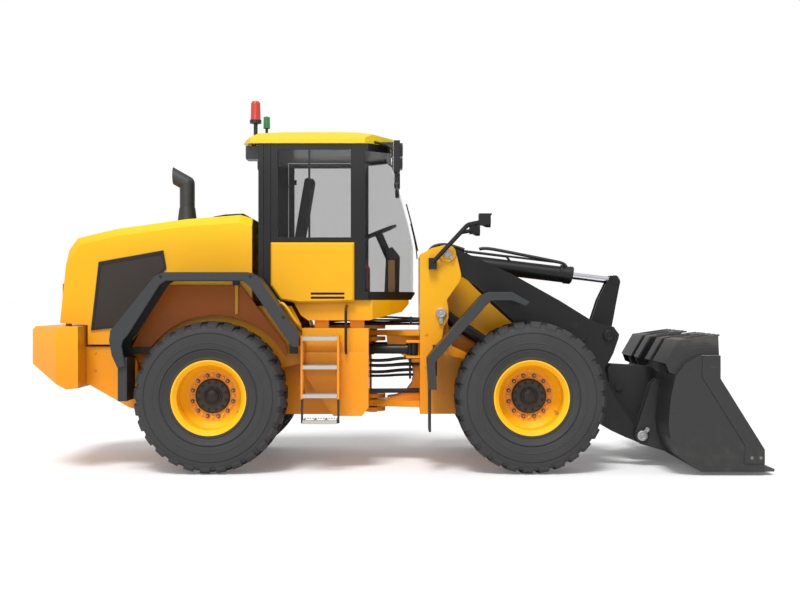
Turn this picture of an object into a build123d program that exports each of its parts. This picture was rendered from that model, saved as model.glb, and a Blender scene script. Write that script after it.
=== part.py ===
"""Articulated wheel loader, built as separate pieces in one shared frame.

The frame: +X is forward, towards the bucket, +Y is left and +Z is up. The origin is on
the ground, on the centre line, at the middle of the overall length. All lengths are in
millimetres. A name that ends in share or shares holds shares of the grid length, and
every other length is named where it is first used.
"""
import os
from math import asin, atan2, cos, degrees, hypot, pi, radians, sin

from build123d import *

os.makedirs("parts", exist_ok=True)

# Driving dimensions
grid = 1000.0  # one side of the side view's grid
front_axle_x = 1275.0
rear_axle_x = -1755.0
hinge_x = (front_axle_x + rear_axle_x) / 2  # the frames' pivot
tyre_radius = 720.0  # out to the lugs' tips
tyre_centre_y = 965.0
tyre_width = 521.0
lug_count = 28
lug_pitch_share = 0.72  # a lug's width over the distance between lugs
lug_width = lug_pitch_share * 2 * pi * tyre_radius / lug_count
lug_half_angle = asin(lug_width / 2 / tyre_radius)
axle_z = tyre_radius * cos(pi / lug_count - lug_half_angle)  # the lowest lug meets the ground

# Pins of the arm, in the side view, as shares of the grid
lift_pivot_share = (0.505, 2.096)
lift_base_share = (0.443, 1.511)
lift_eye_share = (1.680, 0.695)
tilt_base_share = (0.405, 2.060)
crank_top_share = (2.237, 1.836)
crank_pivot_share = (2.100, 1.287)
crank_low_share = (1.900, 0.480)
link_eye_share = (2.265, 0.758)
bucket_pivot_share = (2.417, 0.308)
hood_hinge_share = (-3.225, 1.425)
rear_axle_share = (rear_axle_x / grid, axle_z / grid)
front_axle_share = (front_axle_x / grid, axle_z / grid)

# Radii of the pins, and the gap all round each pin in its bore
pin_gap = 0.6
lift_pivot_pin = 50.0
lift_base_pin = 32.0
lift_eye_pin = 34.0
tilt_base_pin = 30.0
crank_pin = 42.0
link_pin = 28.0
bucket_pin = 38.0
frame_pin = 46.0
steer_pin = 20.0
hood_pin = 12.0
door_pin = 8.0

# Steering cylinders' pins
steer_base_x = 180.0
steer_base_y = 420.0
steer_eye_x = -640.0
steer_eye_y = 290.0
steer_z = 1150.0

# Layers from the centre line out, near and far, as shares of the grid
crank_layer_shares = (0.055, 0.085)
centre_ear_shares = (0.098, 0.135)
boom_ear_shares = (0.100, 0.145)
web_layer_shares = (0.140, 0.180)
rear_plate_shares = (0.360, 0.400)
inner_plate_shares = (0.400, 0.435)
arm_layer_shares = (0.465, 0.535)
outer_plate_shares = (0.565, 0.600)
through_shares = (0.300, 0.620)
lift_y_share = 0.298

both = (1, -1)
left = (1,)
right = (-1,)


def spot(share):
    """A point of the side view, in millimetres."""
    x, z = share
    return (x * grid, z * grid)


def slab(shares, layer_shares, sides=left):
    """A plate cut to a side-view outline, from near to far out, on each of the sides."""
    near, far = (share * grid for share in layer_shares)
    with BuildPart() as plate:
        for side in sides:
            with BuildSketch(Plane.XZ.offset(-side * near)):
                with BuildLine():
                    Polyline(*[spot(share) for share in shares], close=True)
                make_face()
            extrude(amount=-side * (far - near))
    return plate.part


def plan_slab(shares, height_shares):
    """A plate cut to an outline seen from above, between two heights."""
    low, high = (share * grid for share in height_shares)
    with BuildPart() as plate:
        with BuildSketch(Plane.XY.offset(low)):
            with BuildLine():
                Polyline(*[spot(share) for share in shares], close=True)
            make_face()
        extrude(amount=high - low)
    return plate.part


def cross_slab(shares, length_shares):
    """A bar cut to an outline seen from the front, between two places along X."""
    start, end = (share * grid for share in length_shares)
    with BuildPart() as plate:
        with BuildSketch(Plane.YZ.offset(start)):
            with BuildLine():
                Polyline(*[spot(share) for share in shares], close=True)
            make_face()
        extrude(amount=end - start)
    return plate.part


def discs(rows, sides=both):
    """Round bosses or pins along Y, from rows of pin, radius, near share and far share."""
    with BuildPart() as bosses:
        for share, radius, near, far in rows:
            for side in sides:
                with BuildSketch(Plane.XZ.offset(-side * near * grid)):
                    with Locations(spot(share)):
                        Circle(radius)
                extrude(amount=-side * (far - near) * grid)
    return bosses.part


def blocks(rows, sides=both):
    """Blocks from rows of shares: X from and to, Y near and far, Z low and high."""
    with BuildPart() as boxes:
        for x_from, x_to, near, far, low, high in rows:
            for side in sides:
                y_from, y_to = sorted((side * near * grid, side * far * grid))
                with BuildSketch(Plane.XY.offset(low * grid)):
                    with BuildLine():
                        Polyline(
                            (x_from * grid, y_from),
                            (x_to * grid, y_from),
                            (x_to * grid, y_to),
                            (x_from * grid, y_to),
                            close=True,
                        )
                    make_face()
                extrude(amount=(high - low) * grid)
    return boxes.part


def rod(start_shares, end_shares, radius):
    """A round bar between two points given as shares of the grid."""
    start = Vector(*[share * grid for share in start_shares])
    span = Vector(*[share * grid for share in end_shares]) - start
    with BuildPart() as bar:
        with BuildSketch(Plane(origin=start, z_dir=span)):
            Circle(radius)
        extrude(amount=span.length)
    return bar.part


def rail(share_points, radius, bend):
    """A bent round bar through points given as shares of the grid."""
    points = [tuple(share * grid for share in point) for point in share_points]
    with BuildPart() as bar:
        with BuildLine() as path:
            FilletPolyline(*points, radius=bend)
        with BuildSketch(Plane(origin=path.line @ 0, z_dir=path.line % 0)):
            Circle(radius)
        sweep()
    return bar.part


def turned(profile, mirrored=False):
    """A ring about the Y axis from points of radius and place along Y."""
    points = list(profile)
    if mirrored:
        points = points + [(radius, -y) for radius, y in reversed(profile)]
    with BuildPart() as body:
        with BuildSketch(Plane.XY):
            with BuildLine():
                Polyline(*points, close=True)
            make_face()
        revolve(axis=Axis.Y)
    return body.part


def standing(profile, x_share, y_share):
    """A round post about an upright axis from points of radius and height."""
    with BuildPart() as body:
        with BuildSketch(Plane.XZ):
            with BuildLine():
                Polyline(*profile, close=True)
            make_face()
        revolve(axis=Axis.Z)
    return Pos(x_share * grid, y_share * grid, 0) * body.part


def joined(pieces):
    """One body of all the pieces, as solids that touch become one."""
    with BuildPart() as body:
        for piece in pieces:
            add(piece)
    return body.part


def without(body, cutters):
    """The body less each of the cutters."""
    with BuildPart() as rest:
        add(body)
        for cutter in cutters:
            add(cutter, mode=Mode.SUBTRACT)
    return rest.part


def within(body, limits):
    """What the body shares with each of the limits."""
    with BuildPart() as rest:
        add(body)
        for limit in limits:
            add(limit, mode=Mode.INTERSECT)
    return rest.part


def save(part, name):
    """Writes one named piece."""
    part.label = name
    export_step(part, "parts/" + name + ".step")


# Tyre: a many-sided carcass with a row of lugs round each shoulder
rim_radius = 322.0
flange_radius = 358.0
bead_y = 212.0
tyre_half = tyre_width / 2
carcass_rows = (
    # radius, place along Y from the tyre's middle
    (520.0, -tyre_half),
    (650.0, -246.0),
    (688.0, -110.0),
    (688.0, 110.0),
    (650.0, 246.0),
    (520.0, tyre_half),
)
bead_rows = (
    # radius, place along Y from the tyre's middle
    (flange_radius + 8.0, bead_y),
    (470.0, tyre_half + 1.0),
)
lug_root = 640.0
lug_tip = (tyre_radius**2 - (lug_width / 2) ** 2) ** 0.5
lug_section = (
    # radius, place along Y from the tyre's middle
    (lug_root, -22.0),
    (lug_tip, -22.0),
    (lug_tip, 178.0),
    (662.0, 256.0),
    (lug_root, 235.0),
)


def many_sided(rows):
    """Sections with as many sides as lugs, joined along Y."""
    with BuildPart() as body:
        for radius, y in rows:
            with BuildSketch(Plane.XZ.offset(-y)):
                RegularPolygon(radius, lug_count, rotation=180.0 / lug_count)
        loft(ruled=True)
    return body.part


carcass = many_sided(carcass_rows)
bead_recess = many_sided(bead_rows)
with BuildPart() as bead_hole:
    with BuildSketch(Plane.XZ.offset(-tyre_half)):
        Circle(rim_radius)
    extrude(amount=tyre_width)
with BuildPart() as lug:
    with BuildSketch(Plane.XY):
        with BuildLine():
            Polyline(*lug_section, close=True)
        make_face()
    extrude(amount=lug_width / 2, both=True)
carcass = without(carcass, [bead_recess, bead_recess.mirror(Plane.XZ), bead_hole.part])
lug_step = 360.0 / lug_count
near_lugs = [Rot(0, index * lug_step, 0) * lug.part for index in range(lug_count)]
far_lug = lug.part.mirror(Plane.XZ)
far_lugs = [Rot(0, (index + 0.5) * lug_step, 0) * far_lug for index in range(lug_count)]
tyre = carcass.fuse(*near_lugs, *far_lugs)

# Wheel: a rim with a deep dish, a ring of nuts and a stepped hub
flange_y = 238.0
rim_wall = 16.0
dish_y = -100.0  # the dish's inner face, from the tyre's middle
dish_thick = 24.0
dish_radius = 245.0
dish_rise = 60.0
hub_radius = 166.0
stud_count = 12
stud_ring_radius = 200.0
stud_radius = 14.0
stud_reach = 22.0
rim_profile = (
    (rim_radius, bead_y),
    (flange_radius - 2.0, bead_y),
    (flange_radius - 2.0, flange_y),
    (flange_radius - rim_wall, flange_y),
    (rim_radius - rim_wall, bead_y - rim_wall),
)
dish_profile = (
    (0.0, dish_y),
    (dish_radius, dish_y),
    (rim_radius - rim_wall, dish_y + dish_rise),
    (rim_radius - rim_wall, dish_y + dish_rise + dish_thick),
    (dish_radius, dish_y + dish_thick),
    (0.0, dish_y + dish_thick),
)


def wheel(hub_reach, cap_radius, cap_reach):
    """A rim with its dished disc, hub and ring of wheel nuts, facing +Y."""
    hub_profile = (
        (0.0, dish_y),
        (hub_radius, dish_y),
        (hub_radius, dish_y + hub_reach - rim_wall),
        (hub_radius - rim_wall, dish_y + hub_reach),
        (cap_radius, dish_y + hub_reach),
        (cap_radius, dish_y + cap_reach),
        (0.0, dish_y + cap_reach),
    )
    with BuildPart() as nuts:
        with BuildSketch(Plane.XZ.offset(-dish_y)):
            with PolarLocations(stud_ring_radius, stud_count):
                RegularPolygon(stud_radius, 6)
        extrude(amount=-(dish_thick + stud_reach))
    rim = turned(rim_profile, mirrored=True)
    return joined([rim, turned(dish_profile), turned(hub_profile), nuts.part])


wheel_rows = (
    # name, axle x, side, hub reach, cap radius, cap reach
    ("front_left", front_axle_x, 1, 72.0, 84.0, 96.0),
    ("front_right", front_axle_x, -1, 72.0, 84.0, 96.0),
    ("rear_left", rear_axle_x, 1, 60.0, 90.0, 78.0),
    ("rear_right", rear_axle_x, -1, 60.0, 90.0, 78.0),
)
for name, axle_x, side, hub_reach, cap_radius, cap_reach in wheel_rows:
    place = Pos(axle_x, side * tyre_centre_y, axle_z)
    turn = Rot(0, 0, 0) if side > 0 else Rot(0, 0, 180)
    save(place * turn * tyre, "tyre_" + name)
    save(place * turn * wheel(hub_reach, cap_radius, cap_reach), "wheel_" + name)

# Axles: a beam with a round bowl at its middle, ending in flanges just short of the wheels
axle_tube_radius = 85.0
axle_end_radius = 150.0
axle_bowl_radius = 210.0
axle_face_share = (tyre_centre_y + dish_y - pin_gap) / grid
axle_arm_share = 0.640
bowl_share = 0.150
for name, share in (("rear_axle", rear_axle_share), ("front_axle", front_axle_share)):
    beam_rows = (
        # pin, radius, near share, far share
        (share, axle_tube_radius, 0.0, axle_arm_share),
        (share, axle_end_radius, axle_arm_share, axle_face_share),
        (share, axle_bowl_radius, 0.0, bowl_share),
    )
    save(discs(beam_rows), name)


def axle_room(share, clearance):
    """The bores through the frame's plates and the room round the axle's bowl."""
    rows = (
        # pin, radius, near share, far share
        (share, axle_tube_radius, web_layer_shares[0] - clearance, through_shares[1]),
        (share, axle_bowl_radius + clearance * grid, 0.0, web_layer_shares[1] + clearance),
    )
    return discs(rows)


bowl_clearance_share = 0.008

# Rear frame: side plates, outer panels, cross members and the hinge's lugs
rear_frame_shares = (
    (-3.02, 1.05), (-2.98, 0.82), (-2.45, 0.62), (-2.25, 0.50), (-0.62, 0.50),
    (-0.62, 1.34), (-2.20, 1.34), (-2.45, 1.19), (-3.02, 1.19),
)
locker_shares = (
    (-3.02, 0.83), (-3.02, 1.185), (-2.66, 1.185), (-2.52, 1.04), (-2.52, 0.57), (-2.60, 0.59),
)
arch_panel_shares = (
    (-2.58, 1.19), (-2.50, 1.23), (-2.24, 1.58), (-1.02, 1.58), (-0.93, 1.40), (-0.93, 1.02),
    (-1.10, 0.98), (-2.40, 0.98), (-2.58, 1.06),
)
locker_layer_shares = (0.400, 0.690)
arch_layer_shares = (0.600, 0.640)
rear_block_rows = (
    # X from, X to, Y near, Y far, Z low, Z high
    (-2.70, -2.60, 0.300, 0.360, 1.10, 1.19),
    (-1.90, -1.80, 0.300, 0.360, 1.10, 1.20),
    (-1.60, -1.50, 0.400, 0.640, 1.44, 1.54),
    (-1.56, -1.53, 0.640, 0.760, 1.50, 1.54),
    (-1.56, -1.53, 0.735, 0.765, 1.50, 1.83),
    (-2.40, -2.34, 0.400, 0.600, 1.10, 1.16),
    (-2.40, -2.37, 0.640, 0.765, 1.14, 1.17),
    (-2.45, -2.35, 0.600, 0.640, 1.05, 1.17),
    (-1.02, -0.99, 0.640, 0.765, 1.14, 1.17),
    (-1.00, -0.95, 0.400, 0.600, 1.10, 1.30),
    (-1.60, -1.50, 0.360, 0.400, 1.34, 1.54),
)
rear_cross_rows = (
    # X from, X to, Y near, Y far, Z low, Z high
    (-0.84, -0.80, 0.0, 0.360, 0.52, 1.34),
    (-2.98, -2.92, 0.0, 0.360, 0.84, 1.18),
    (-1.40, -1.34, 0.0, 0.360, 0.95, 1.30),
    (-0.84, -0.64, 0.0, 0.380, 1.325, 1.385),
    (-0.80, -0.60, 0.240, 0.360, 1.085, 1.110),
    (-0.80, -0.60, 0.240, 0.360, 1.190, 1.215),
)
lug_end_share = 0.130
rear_lug_rows = (
    # low share, high share
    (0.505, 0.545),
    (0.640, 0.680),
    (1.225, 1.265),
    (1.345, 1.385),
)
front_lug_rows = (
    # low share, high share
    (0.560, 0.625),
    (1.280, 1.330),
)
rear_lug_root_shares = (-0.82, 0.33)
front_lug_root_shares = (0.25, 0.30)


def flat_lugs(root_shares, rows):
    """Horizontal hinge lugs: tapered plates with a round end at the frames' pivot."""
    root_x, root_half = (share * grid for share in root_shares)
    lug_end = lug_end_share * grid
    with BuildPart() as lugs:
        for low, high in rows:
            with BuildSketch(Plane.XY.offset(low * grid)):
                with BuildLine():
                    Polyline(
                        (root_x, -root_half),
                        (hinge_x, -lug_end),
                        (hinge_x, lug_end),
                        (root_x, root_half),
                        close=True,
                    )
                make_face()
                with Locations((hinge_x, 0)):
                    Circle(lug_end)
            extrude(amount=(high - low) * grid)
    return lugs.part


hinge_share = hinge_x / grid
hinge_pin_rows = (
    # low share, high share
    (0.490, 0.695),
    (1.215, 1.395),
)
hinge_pins = [
    rod((hinge_share, 0, low), (hinge_share, 0, high), frame_pin) for low, high in hinge_pin_rows
]
rear_frame = joined(
    [
        slab(rear_frame_shares, rear_plate_shares, both),
        slab(locker_shares, locker_layer_shares, both),
        slab(arch_panel_shares, arch_layer_shares, both),
        blocks(rear_block_rows),
        blocks(rear_cross_rows),
        flat_lugs(rear_lug_root_shares, rear_lug_rows),
    ]
    + hinge_pins
)
save(without(rear_frame, [axle_room(rear_axle_share, bowl_clearance_share)]), "rear_chassis")

# Counterweight: chamfered in plan, with a slot and a pin bore for a tow bar
weight_plan_shares = (
    (-3.02, -1.02), (-3.02, 1.02), (-3.22, 1.05), (-3.54, 0.70),
    (-3.54, -0.70), (-3.22, -1.05),
)
weight_side_shares = (
    (-3.56, 1.03), (-3.56, 1.33), (-3.50, 1.385), (-3.01, 1.385), (-3.01, 0.80),
    (-3.13, 0.79),
)
weight_width_shares = (-1.2, 1.2)
weight_height_shares = (0.70, 1.50)
tow_slot_rows = (
    # X from, X to, Y near, Y far, Z low, Z high
    (-3.60, -3.38, 0.0, 0.09, 1.200, 1.300),
)
tow_pin = 22.0
tow_x_share = -3.470
tow_low_share = 1.120
hood_ear_rows = (
    # X from, X to, Y near, Y far, Z low, Z high
    (-3.243, -3.207, 0.500, 0.528, 1.380, 1.425),
    (-3.243, -3.207, 0.572, 0.600, 1.380, 1.425),
)
hood_boss_rows = (
    # pin, radius, near share, far share
    (hood_hinge_share, 18.0, 0.500, 0.528),
    (hood_hinge_share, 18.0, 0.572, 0.600),
    (hood_hinge_share, hood_pin, 0.500, 0.600),
)
weight = within(
    plan_slab(weight_plan_shares, weight_height_shares),
    [slab(weight_side_shares, weight_width_shares)],
)
tow_bore = rod((tow_x_share, 0, tow_low_share), (tow_x_share, 0, weight_height_shares[1]), tow_pin)
weight = without(weight, [blocks(tow_slot_rows), tow_bore])
save(joined([weight, blocks(hood_ear_rows), discs(hood_boss_rows)]), "counterweight")

# Hood: a hollow shell over the engine with rounded shoulders, hinged at its rear foot
hood_outer_shares = (
    (-3.27, 1.415), (-3.195, 2.130), (-3.110, 2.245), (-2.730, 2.335),
    (-2.050, 2.430), (-1.520, 2.472), (-1.400, 2.435), (-1.40, 1.62), (-2.24, 1.62),
    (-2.60, 1.205), (-3.00, 1.205), (-3.00, 1.395),
)
hood_inner_shares = (
    (-3.22, 1.10), (-3.22, 1.50), (-3.160, 2.10), (-3.08, 2.205), (-2.72, 2.295),
    (-2.05, 2.390), (-1.52, 2.430), (-1.30, 2.430), (-1.30, 1.10),
)
hood_width_shares = (-0.72, 0.72)
hood_room_shares = (-0.69, 0.69)
hood_shoulder = 75.0
hood_shoulder_low_share = 2.08
hood_wall = 30.0
hood_notch_rows = (
    # X from, X to, Y near, Y far, Z low, Z high
    (-3.30, -3.15, 0.490, 0.610, 1.380, 1.462),
)
hood_knuckle_rows = (
    # X from, X to, Y near, Y far, Z low, Z high
    (-3.245, -3.205, 0.535, 0.565, 1.425, 1.500),
)
hood_knuckle_disc_rows = (
    # pin, radius, near share, far share
    (hood_hinge_share, 20.0, 0.535, 0.565),
)
hood_bore_rows = (
    # pin, radius, near share, far share
    (hood_hinge_share, hood_pin + pin_gap, 0.500, 0.600),
)


def hood_form(shares, width_shares, shoulder):
    """The hood's side view drawn out to its width, with its two shoulders rounded."""
    half = width_shares[1] * grid
    with BuildPart() as form:
        add(slab(shares, width_shares))
        tops = form.edges().filter_by(
            lambda edge: abs(abs(edge.center().Y) - half) < pin_gap
            and edge.center().Z > hood_shoulder_low_share * grid
            and edge.center().X < hood_shoulder_end_share * grid
        )
        chamfer(tops, shoulder)
    return form.part


hood_shoulder_end_share = -1.405
grille_outer_shares = (
    (-2.890, 2.010), (-2.262, 2.122), (-2.232, 1.950), (-2.700, 1.372), (-2.965, 1.345),
)
grille_inner_shares = (
    (-2.866, 1.980), (-2.284, 2.084), (-2.260, 1.958), (-2.716, 1.398), (-2.936, 1.372),
)
grille_hole_shares = (-0.80, 0.80)
hood_solid = hood_form(hood_outer_shares, hood_width_shares, hood_shoulder)
hood_room = hood_form(hood_inner_shares, hood_room_shares, hood_shoulder)
side_hole = slab(grille_inner_shares, grille_hole_shares)
hood = without(hood_solid, [hood_room, blocks(hood_notch_rows), side_hole])
hood = joined([hood, blocks(hood_knuckle_rows), discs(hood_knuckle_disc_rows)])
save(without(hood, [discs(hood_bore_rows)]), "hood")

# Grilles: a frame with slats on each side of the hood, and one across its back
grille_frame_layer_shares = (0.720, 0.736)
grille_slat_layer_shares = (0.700, 0.728)
slat_count = 13
slat_low_share = 1.400
slat_step_share = 0.055
slat_thick_share = 0.022
slat_reach_shares = (-3.00, -2.20)
slats = []
for index in range(slat_count):
    low = slat_low_share + index * slat_step_share
    slats.append(
        slab(
            (
                (slat_reach_shares[0], low),
                (slat_reach_shares[1], low),
                (slat_reach_shares[1], low + slat_thick_share),
                (slat_reach_shares[0], low + slat_thick_share),
            ),
            grille_slat_layer_shares,
            both,
        )
    )
slat_field = within(joined(slats), [side_hole])
grille_frames = without(slab(grille_outer_shares, grille_frame_layer_shares, both), [side_hole])
rear_grille_shares = ((-3.285, 1.45), (-3.245, 1.45), (-3.180, 2.10), (-3.220, 2.10))
rear_grille_width_shares = (-0.52, 0.52)
rear_slot_rows = [
    # X from, X to, Y near, Y far, Z low, Z high
    (-3.40, -3.226, 0.03, 0.47, low / 100, low / 100 + 0.05)
    for low in range(152, 200, 9)
]
rear_grille = without(
    slab(rear_grille_shares, rear_grille_width_shares), [hood_solid, blocks(rear_slot_rows)]
)
save(joined([grille_frames, slat_field]), "side_grilles")
save(rear_grille, "rear_grille")

# Exhaust: a flared foot, a tube and an elbow cut off upright
exhaust_share = -2.147
exhaust_foot_share = 2.390
exhaust_neck_share = 2.585
exhaust_bend_share = 2.835
exhaust_tip_shares = (-2.420, 2.990)
exhaust_foot_radius = 106.0
exhaust_neck_radius = 82.0
exhaust_tube_radius = 77.0
exhaust_wall = 6.0
exhaust_cut_rows = (
    # X from, X to, Y near, Y far, Z low, Z high
    (-2.80, -2.290, 0.0, 0.30, 2.50, 3.30),
)
exhaust_profile = (
    (0.0, exhaust_foot_share * grid),
    (exhaust_foot_radius, exhaust_foot_share * grid),
    (exhaust_neck_radius, exhaust_neck_share * grid),
    (exhaust_tube_radius, exhaust_neck_share * grid),
    (exhaust_tube_radius, exhaust_bend_share * grid),
    (0.0, exhaust_bend_share * grid),
)
elbow_ends = ((exhaust_share, 0, exhaust_bend_share), (exhaust_tip_shares[0], 0, exhaust_tip_shares[1]))
with BuildPart() as elbow_ball:
    with BuildSketch(Plane.XZ):
        with BuildLine():
            CenterArc((0, 0), exhaust_tube_radius, -90.0, 180.0)
            Line((0, -exhaust_tube_radius), (0, exhaust_tube_radius))
        make_face()
    revolve(axis=Axis.Z)
elbow_place = Pos(exhaust_share * grid, 0, exhaust_bend_share * grid)
exhaust = joined(
    [
        standing(exhaust_profile, exhaust_share, 0),
        elbow_place * elbow_ball.part,
        rod(*elbow_ends, exhaust_tube_radius),
    ]
)
exhaust_bore = rod(*elbow_ends, exhaust_tube_radius - exhaust_wall)
exhaust = without(exhaust, [exhaust_bore, blocks(exhaust_cut_rows), hood_solid])
save(exhaust, "exhaust_stack")

# Engine: one plain block of its real size
engine_rows = (
    # X from, X to, Y near, Y far, Z low, Z high
    (-2.90, -1.62, 0.0, 0.300, 1.02, 2.10),
)
save(blocks(engine_rows), "engine_block")

# Rear fenders: a thick bent band over each wheel, with a flap behind it
rear_band_shares = (
    (-2.60, 1.00), (-2.655, 1.12), (-2.68, 1.26), (-2.67, 1.35), (-2.62, 1.41),
    (-2.26, 1.86), (-2.17, 1.90), (-1.39, 1.90), (-1.29, 1.85), (-0.905, 1.315),
    (-0.915, 1.20), (-0.97, 1.20), (-1.36, 1.76), (-1.43, 1.82), (-2.15, 1.82),
    (-2.21, 1.78), (-2.51, 1.305), (-2.55, 1.265), (-2.565, 1.21), (-2.53, 1.02),
)
rear_fender_shares = (0.765, 1.22)
rear_room_shares = (
    (-2.59, 0.95), (-2.635, 1.12), (-2.655, 1.26), (-2.645, 1.34), (-2.60, 1.39),
    (-2.245, 1.835), (-2.165, 1.872), (-1.395, 1.872), (-1.31, 1.832), (-0.93, 1.30),
    (-0.93, 1.10), (-2.00, 0.95),
)
rear_room_layer_shares = (0.795, 1.19)
rear_flap_rows = (
    # X from, X to, Y near, Y far, Z low, Z high
    (-2.605, -2.52, 0.80, 1.19, 0.690, 1.100),
)
rear_stay_rows = (
    # X from, X to, Y near, Y far, Z low, Z high
    (-2.60, -2.36, 0.765, 0.795, 1.120, 1.180),
    (-1.03, -0.95, 0.765, 0.795, 1.120, 1.240),
    (-1.58, -1.51, 0.765, 0.795, 1.780, 1.850),
)
rear_fender = without(
    slab(rear_band_shares, rear_fender_shares, both),
    [slab(rear_room_shares, rear_room_layer_shares, both)],
)
save(joined([rear_fender, blocks(rear_flap_rows), blocks(rear_stay_rows)]), "rear_fenders")

# Front fenders with their stays, and the flaps that hang from them
front_band_shares = (
    (0.31, 0.80), (0.295, 1.08), (0.345, 1.15), (0.81, 1.68), (0.88, 1.714),
    (1.09, 1.714), (1.255, 1.62), (1.215, 1.585), (1.09, 1.635), (0.90, 1.635),
    (0.86, 1.60), (0.385, 1.075), (0.37, 1.05), (0.385, 0.80),
)
front_fender_shares = (0.72, 1.22)
front_room_shares = (
    (0.33, 0.70), (0.322, 1.075), (0.366, 1.135), (0.828, 1.660), (0.886, 1.690),
    (1.085, 1.690), (1.235, 1.604), (1.30, 1.40), (0.60, 0.70),
)
front_room_layer_shares = (0.75, 1.19)
front_stay_rows = (
    # X from, X to, Y near, Y far, Z low, Z high
    (0.36, 0.46, 0.600, 0.750, 1.140, 1.200),
    (0.33, 0.40, 0.720, 0.750, 0.90, 1.12),
)
flap_rows = (
    # X from, X to, Y near, Y far, Z low, Z high
    (0.310, 0.332, 0.760, 1.180, 0.400, 0.800),
)
front_fender = without(
    slab(front_band_shares, front_fender_shares, both),
    [slab(front_room_shares, front_room_layer_shares, both)],
)
front_fender = joined([front_fender, blocks(front_stay_rows)])
save(front_fender, "front_fenders")
save(blocks(flap_rows), "mud_flaps")

# Front frame: outer and inner tower plates, webs down to the axle and the hinge's throat
outer_tower_shares = (
    (0.236, 2.086), (0.354, 2.150), (0.477, 2.180), (0.551, 2.165), (0.600, 2.071),
    (0.642, 1.885), (0.629, 1.826), (0.500, 1.640), (0.515, 1.560), (0.515, 1.460),
    (0.470, 1.380), (0.440, 1.170), (0.560, 1.080), (1.440, 0.940), (1.540, 0.860),
    (1.540, 0.600), (0.580, 0.520), (0.236, 0.520),
)
inner_tower_shares = (
    (0.236, 2.086), (0.354, 2.150), (0.477, 2.180), (0.551, 2.165), (0.600, 2.071),
    (0.642, 1.885), (0.629, 1.826), (0.500, 1.640), (0.515, 1.560), (0.515, 1.460),
    (0.520, 1.340), (0.560, 1.180), (0.900, 1.020), (1.520, 0.960), (1.540, 0.600),
    (0.580, 0.520), (0.236, 0.520),
)
web_shares = (
    (0.236, 2.086), (0.354, 2.150), (0.440, 2.150), (0.540, 2.050), (0.712, 1.851),
    (0.974, 1.589), (1.185, 1.400), (1.330, 1.200), (1.400, 1.020), (1.520, 0.960),
    (1.540, 0.600), (0.580, 0.520), (0.236, 0.520),
)
throat_shares = (
    (0.250, 1.300), (-0.100, 1.300), (-0.080, 1.130), (0.020, 1.110), (0.110, 1.050),
    (0.165, 0.960), (0.175, 0.880), (0.160, 0.790), (0.100, 0.710), (0.010, 0.665),
    (-0.090, 0.650), (-0.100, 0.580), (0.250, 0.560),
)
tower_back_rows = (
    # X from, X to, Y near, Y far, Z low, Z high
    (0.236, 0.266, 0.0, 0.600, 0.520, 2.060),
    (0.266, 1.520, 0.435, 0.565, 0.600, 0.640),
    (0.266, 0.500, 0.435, 0.565, 0.520, 0.560),
    (1.470, 1.520, 0.0, 0.400, 0.600, 0.675),
    (0.266, 0.900, 0.0, 0.400, 0.600, 0.640),
    (0.100, 0.236, 0.370, 0.470, 1.060, 1.085),
    (0.100, 0.236, 0.370, 0.470, 1.215, 1.240),
)
pivot_boss_rows = (
    # pin, radius, near share, far share
    (lift_pivot_share, 85.0, 0.400, 0.455),
    (lift_pivot_share, 85.0, 0.545, 0.620),
    (lift_base_share, 58.0, 0.565, 0.620),
    (lift_base_share, 62.0, 0.350, 0.435),
    (lift_base_share, 62.0, 0.140, 0.245),
    (tilt_base_share, 62.0, 0.075, 0.180),
    (lift_pivot_share, lift_pivot_pin, 0.400, 0.632),
    (lift_base_share, lift_base_pin, 0.140, 0.632),
    (tilt_base_share, tilt_base_pin, 0.0, 0.180),
)
front_frame = joined(
    [
        slab(outer_tower_shares, outer_plate_shares, both),
        slab(inner_tower_shares, inner_plate_shares, both),
        slab(web_shares, web_layer_shares, both),
        slab(throat_shares, web_layer_shares, both),
        blocks(tower_back_rows),
        discs(pivot_boss_rows),
        flat_lugs(front_lug_root_shares, front_lug_rows),
    ]
)
frame_bore_shares = (0.500, 1.400)
frame_bore = rod(
    (hinge_share, 0, frame_bore_shares[0]),
    (hinge_share, 0, frame_bore_shares[1]),
    frame_pin + pin_gap,
)
steer_pin_shares = (1.060, 1.240)
steer_base_pins = [
    rod(
        (steer_base_x / grid, side * steer_base_y / grid, steer_pin_shares[0]),
        (steer_base_x / grid, side * steer_base_y / grid, steer_pin_shares[1]),
        steer_pin,
    )
    for side in both
]
front_frame = without(front_frame, [axle_room(front_axle_share, bowl_clearance_share), frame_bore])
save(joined([front_frame] + steer_base_pins), "front_chassis")

# Boom: two arms, a cross tube with end rings and the crank's ears
arm_shares = (
    (0.46, 2.01), (0.43, 2.14), (0.505, 2.191), (0.578, 2.154), (0.797, 2.056),
    (1.159, 1.889), (1.624, 1.629), (1.921, 1.445), (2.010, 1.405), (2.150, 1.375),
    (2.205, 1.30), (2.196, 1.255), (2.147, 1.114), (2.109, 1.039), (2.060, 0.966),
    (2.089, 0.847), (2.139, 0.728), (2.238, 0.570), (2.367, 0.385), (2.490, 0.330),
    (2.480, 0.260), (2.400, 0.232), (2.268, 0.283), (2.119, 0.352), (2.000, 0.421),
    (1.850, 0.500), (1.700, 0.580), (1.600, 0.640), (1.580, 0.740), (1.560, 1.020),
    (1.480, 1.160), (1.179, 1.421), (0.882, 1.708), (0.789, 1.790), (0.654, 1.867),
)
cross_tube_share = (1.802, 1.302)
crank_ear_shares = (
    (1.74, 1.36), (1.86, 1.42), (2.06, 1.38), (2.15, 1.36), (2.19, 1.28), (2.14, 1.20),
    (1.90, 1.17), (1.74, 1.22),
)
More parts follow.
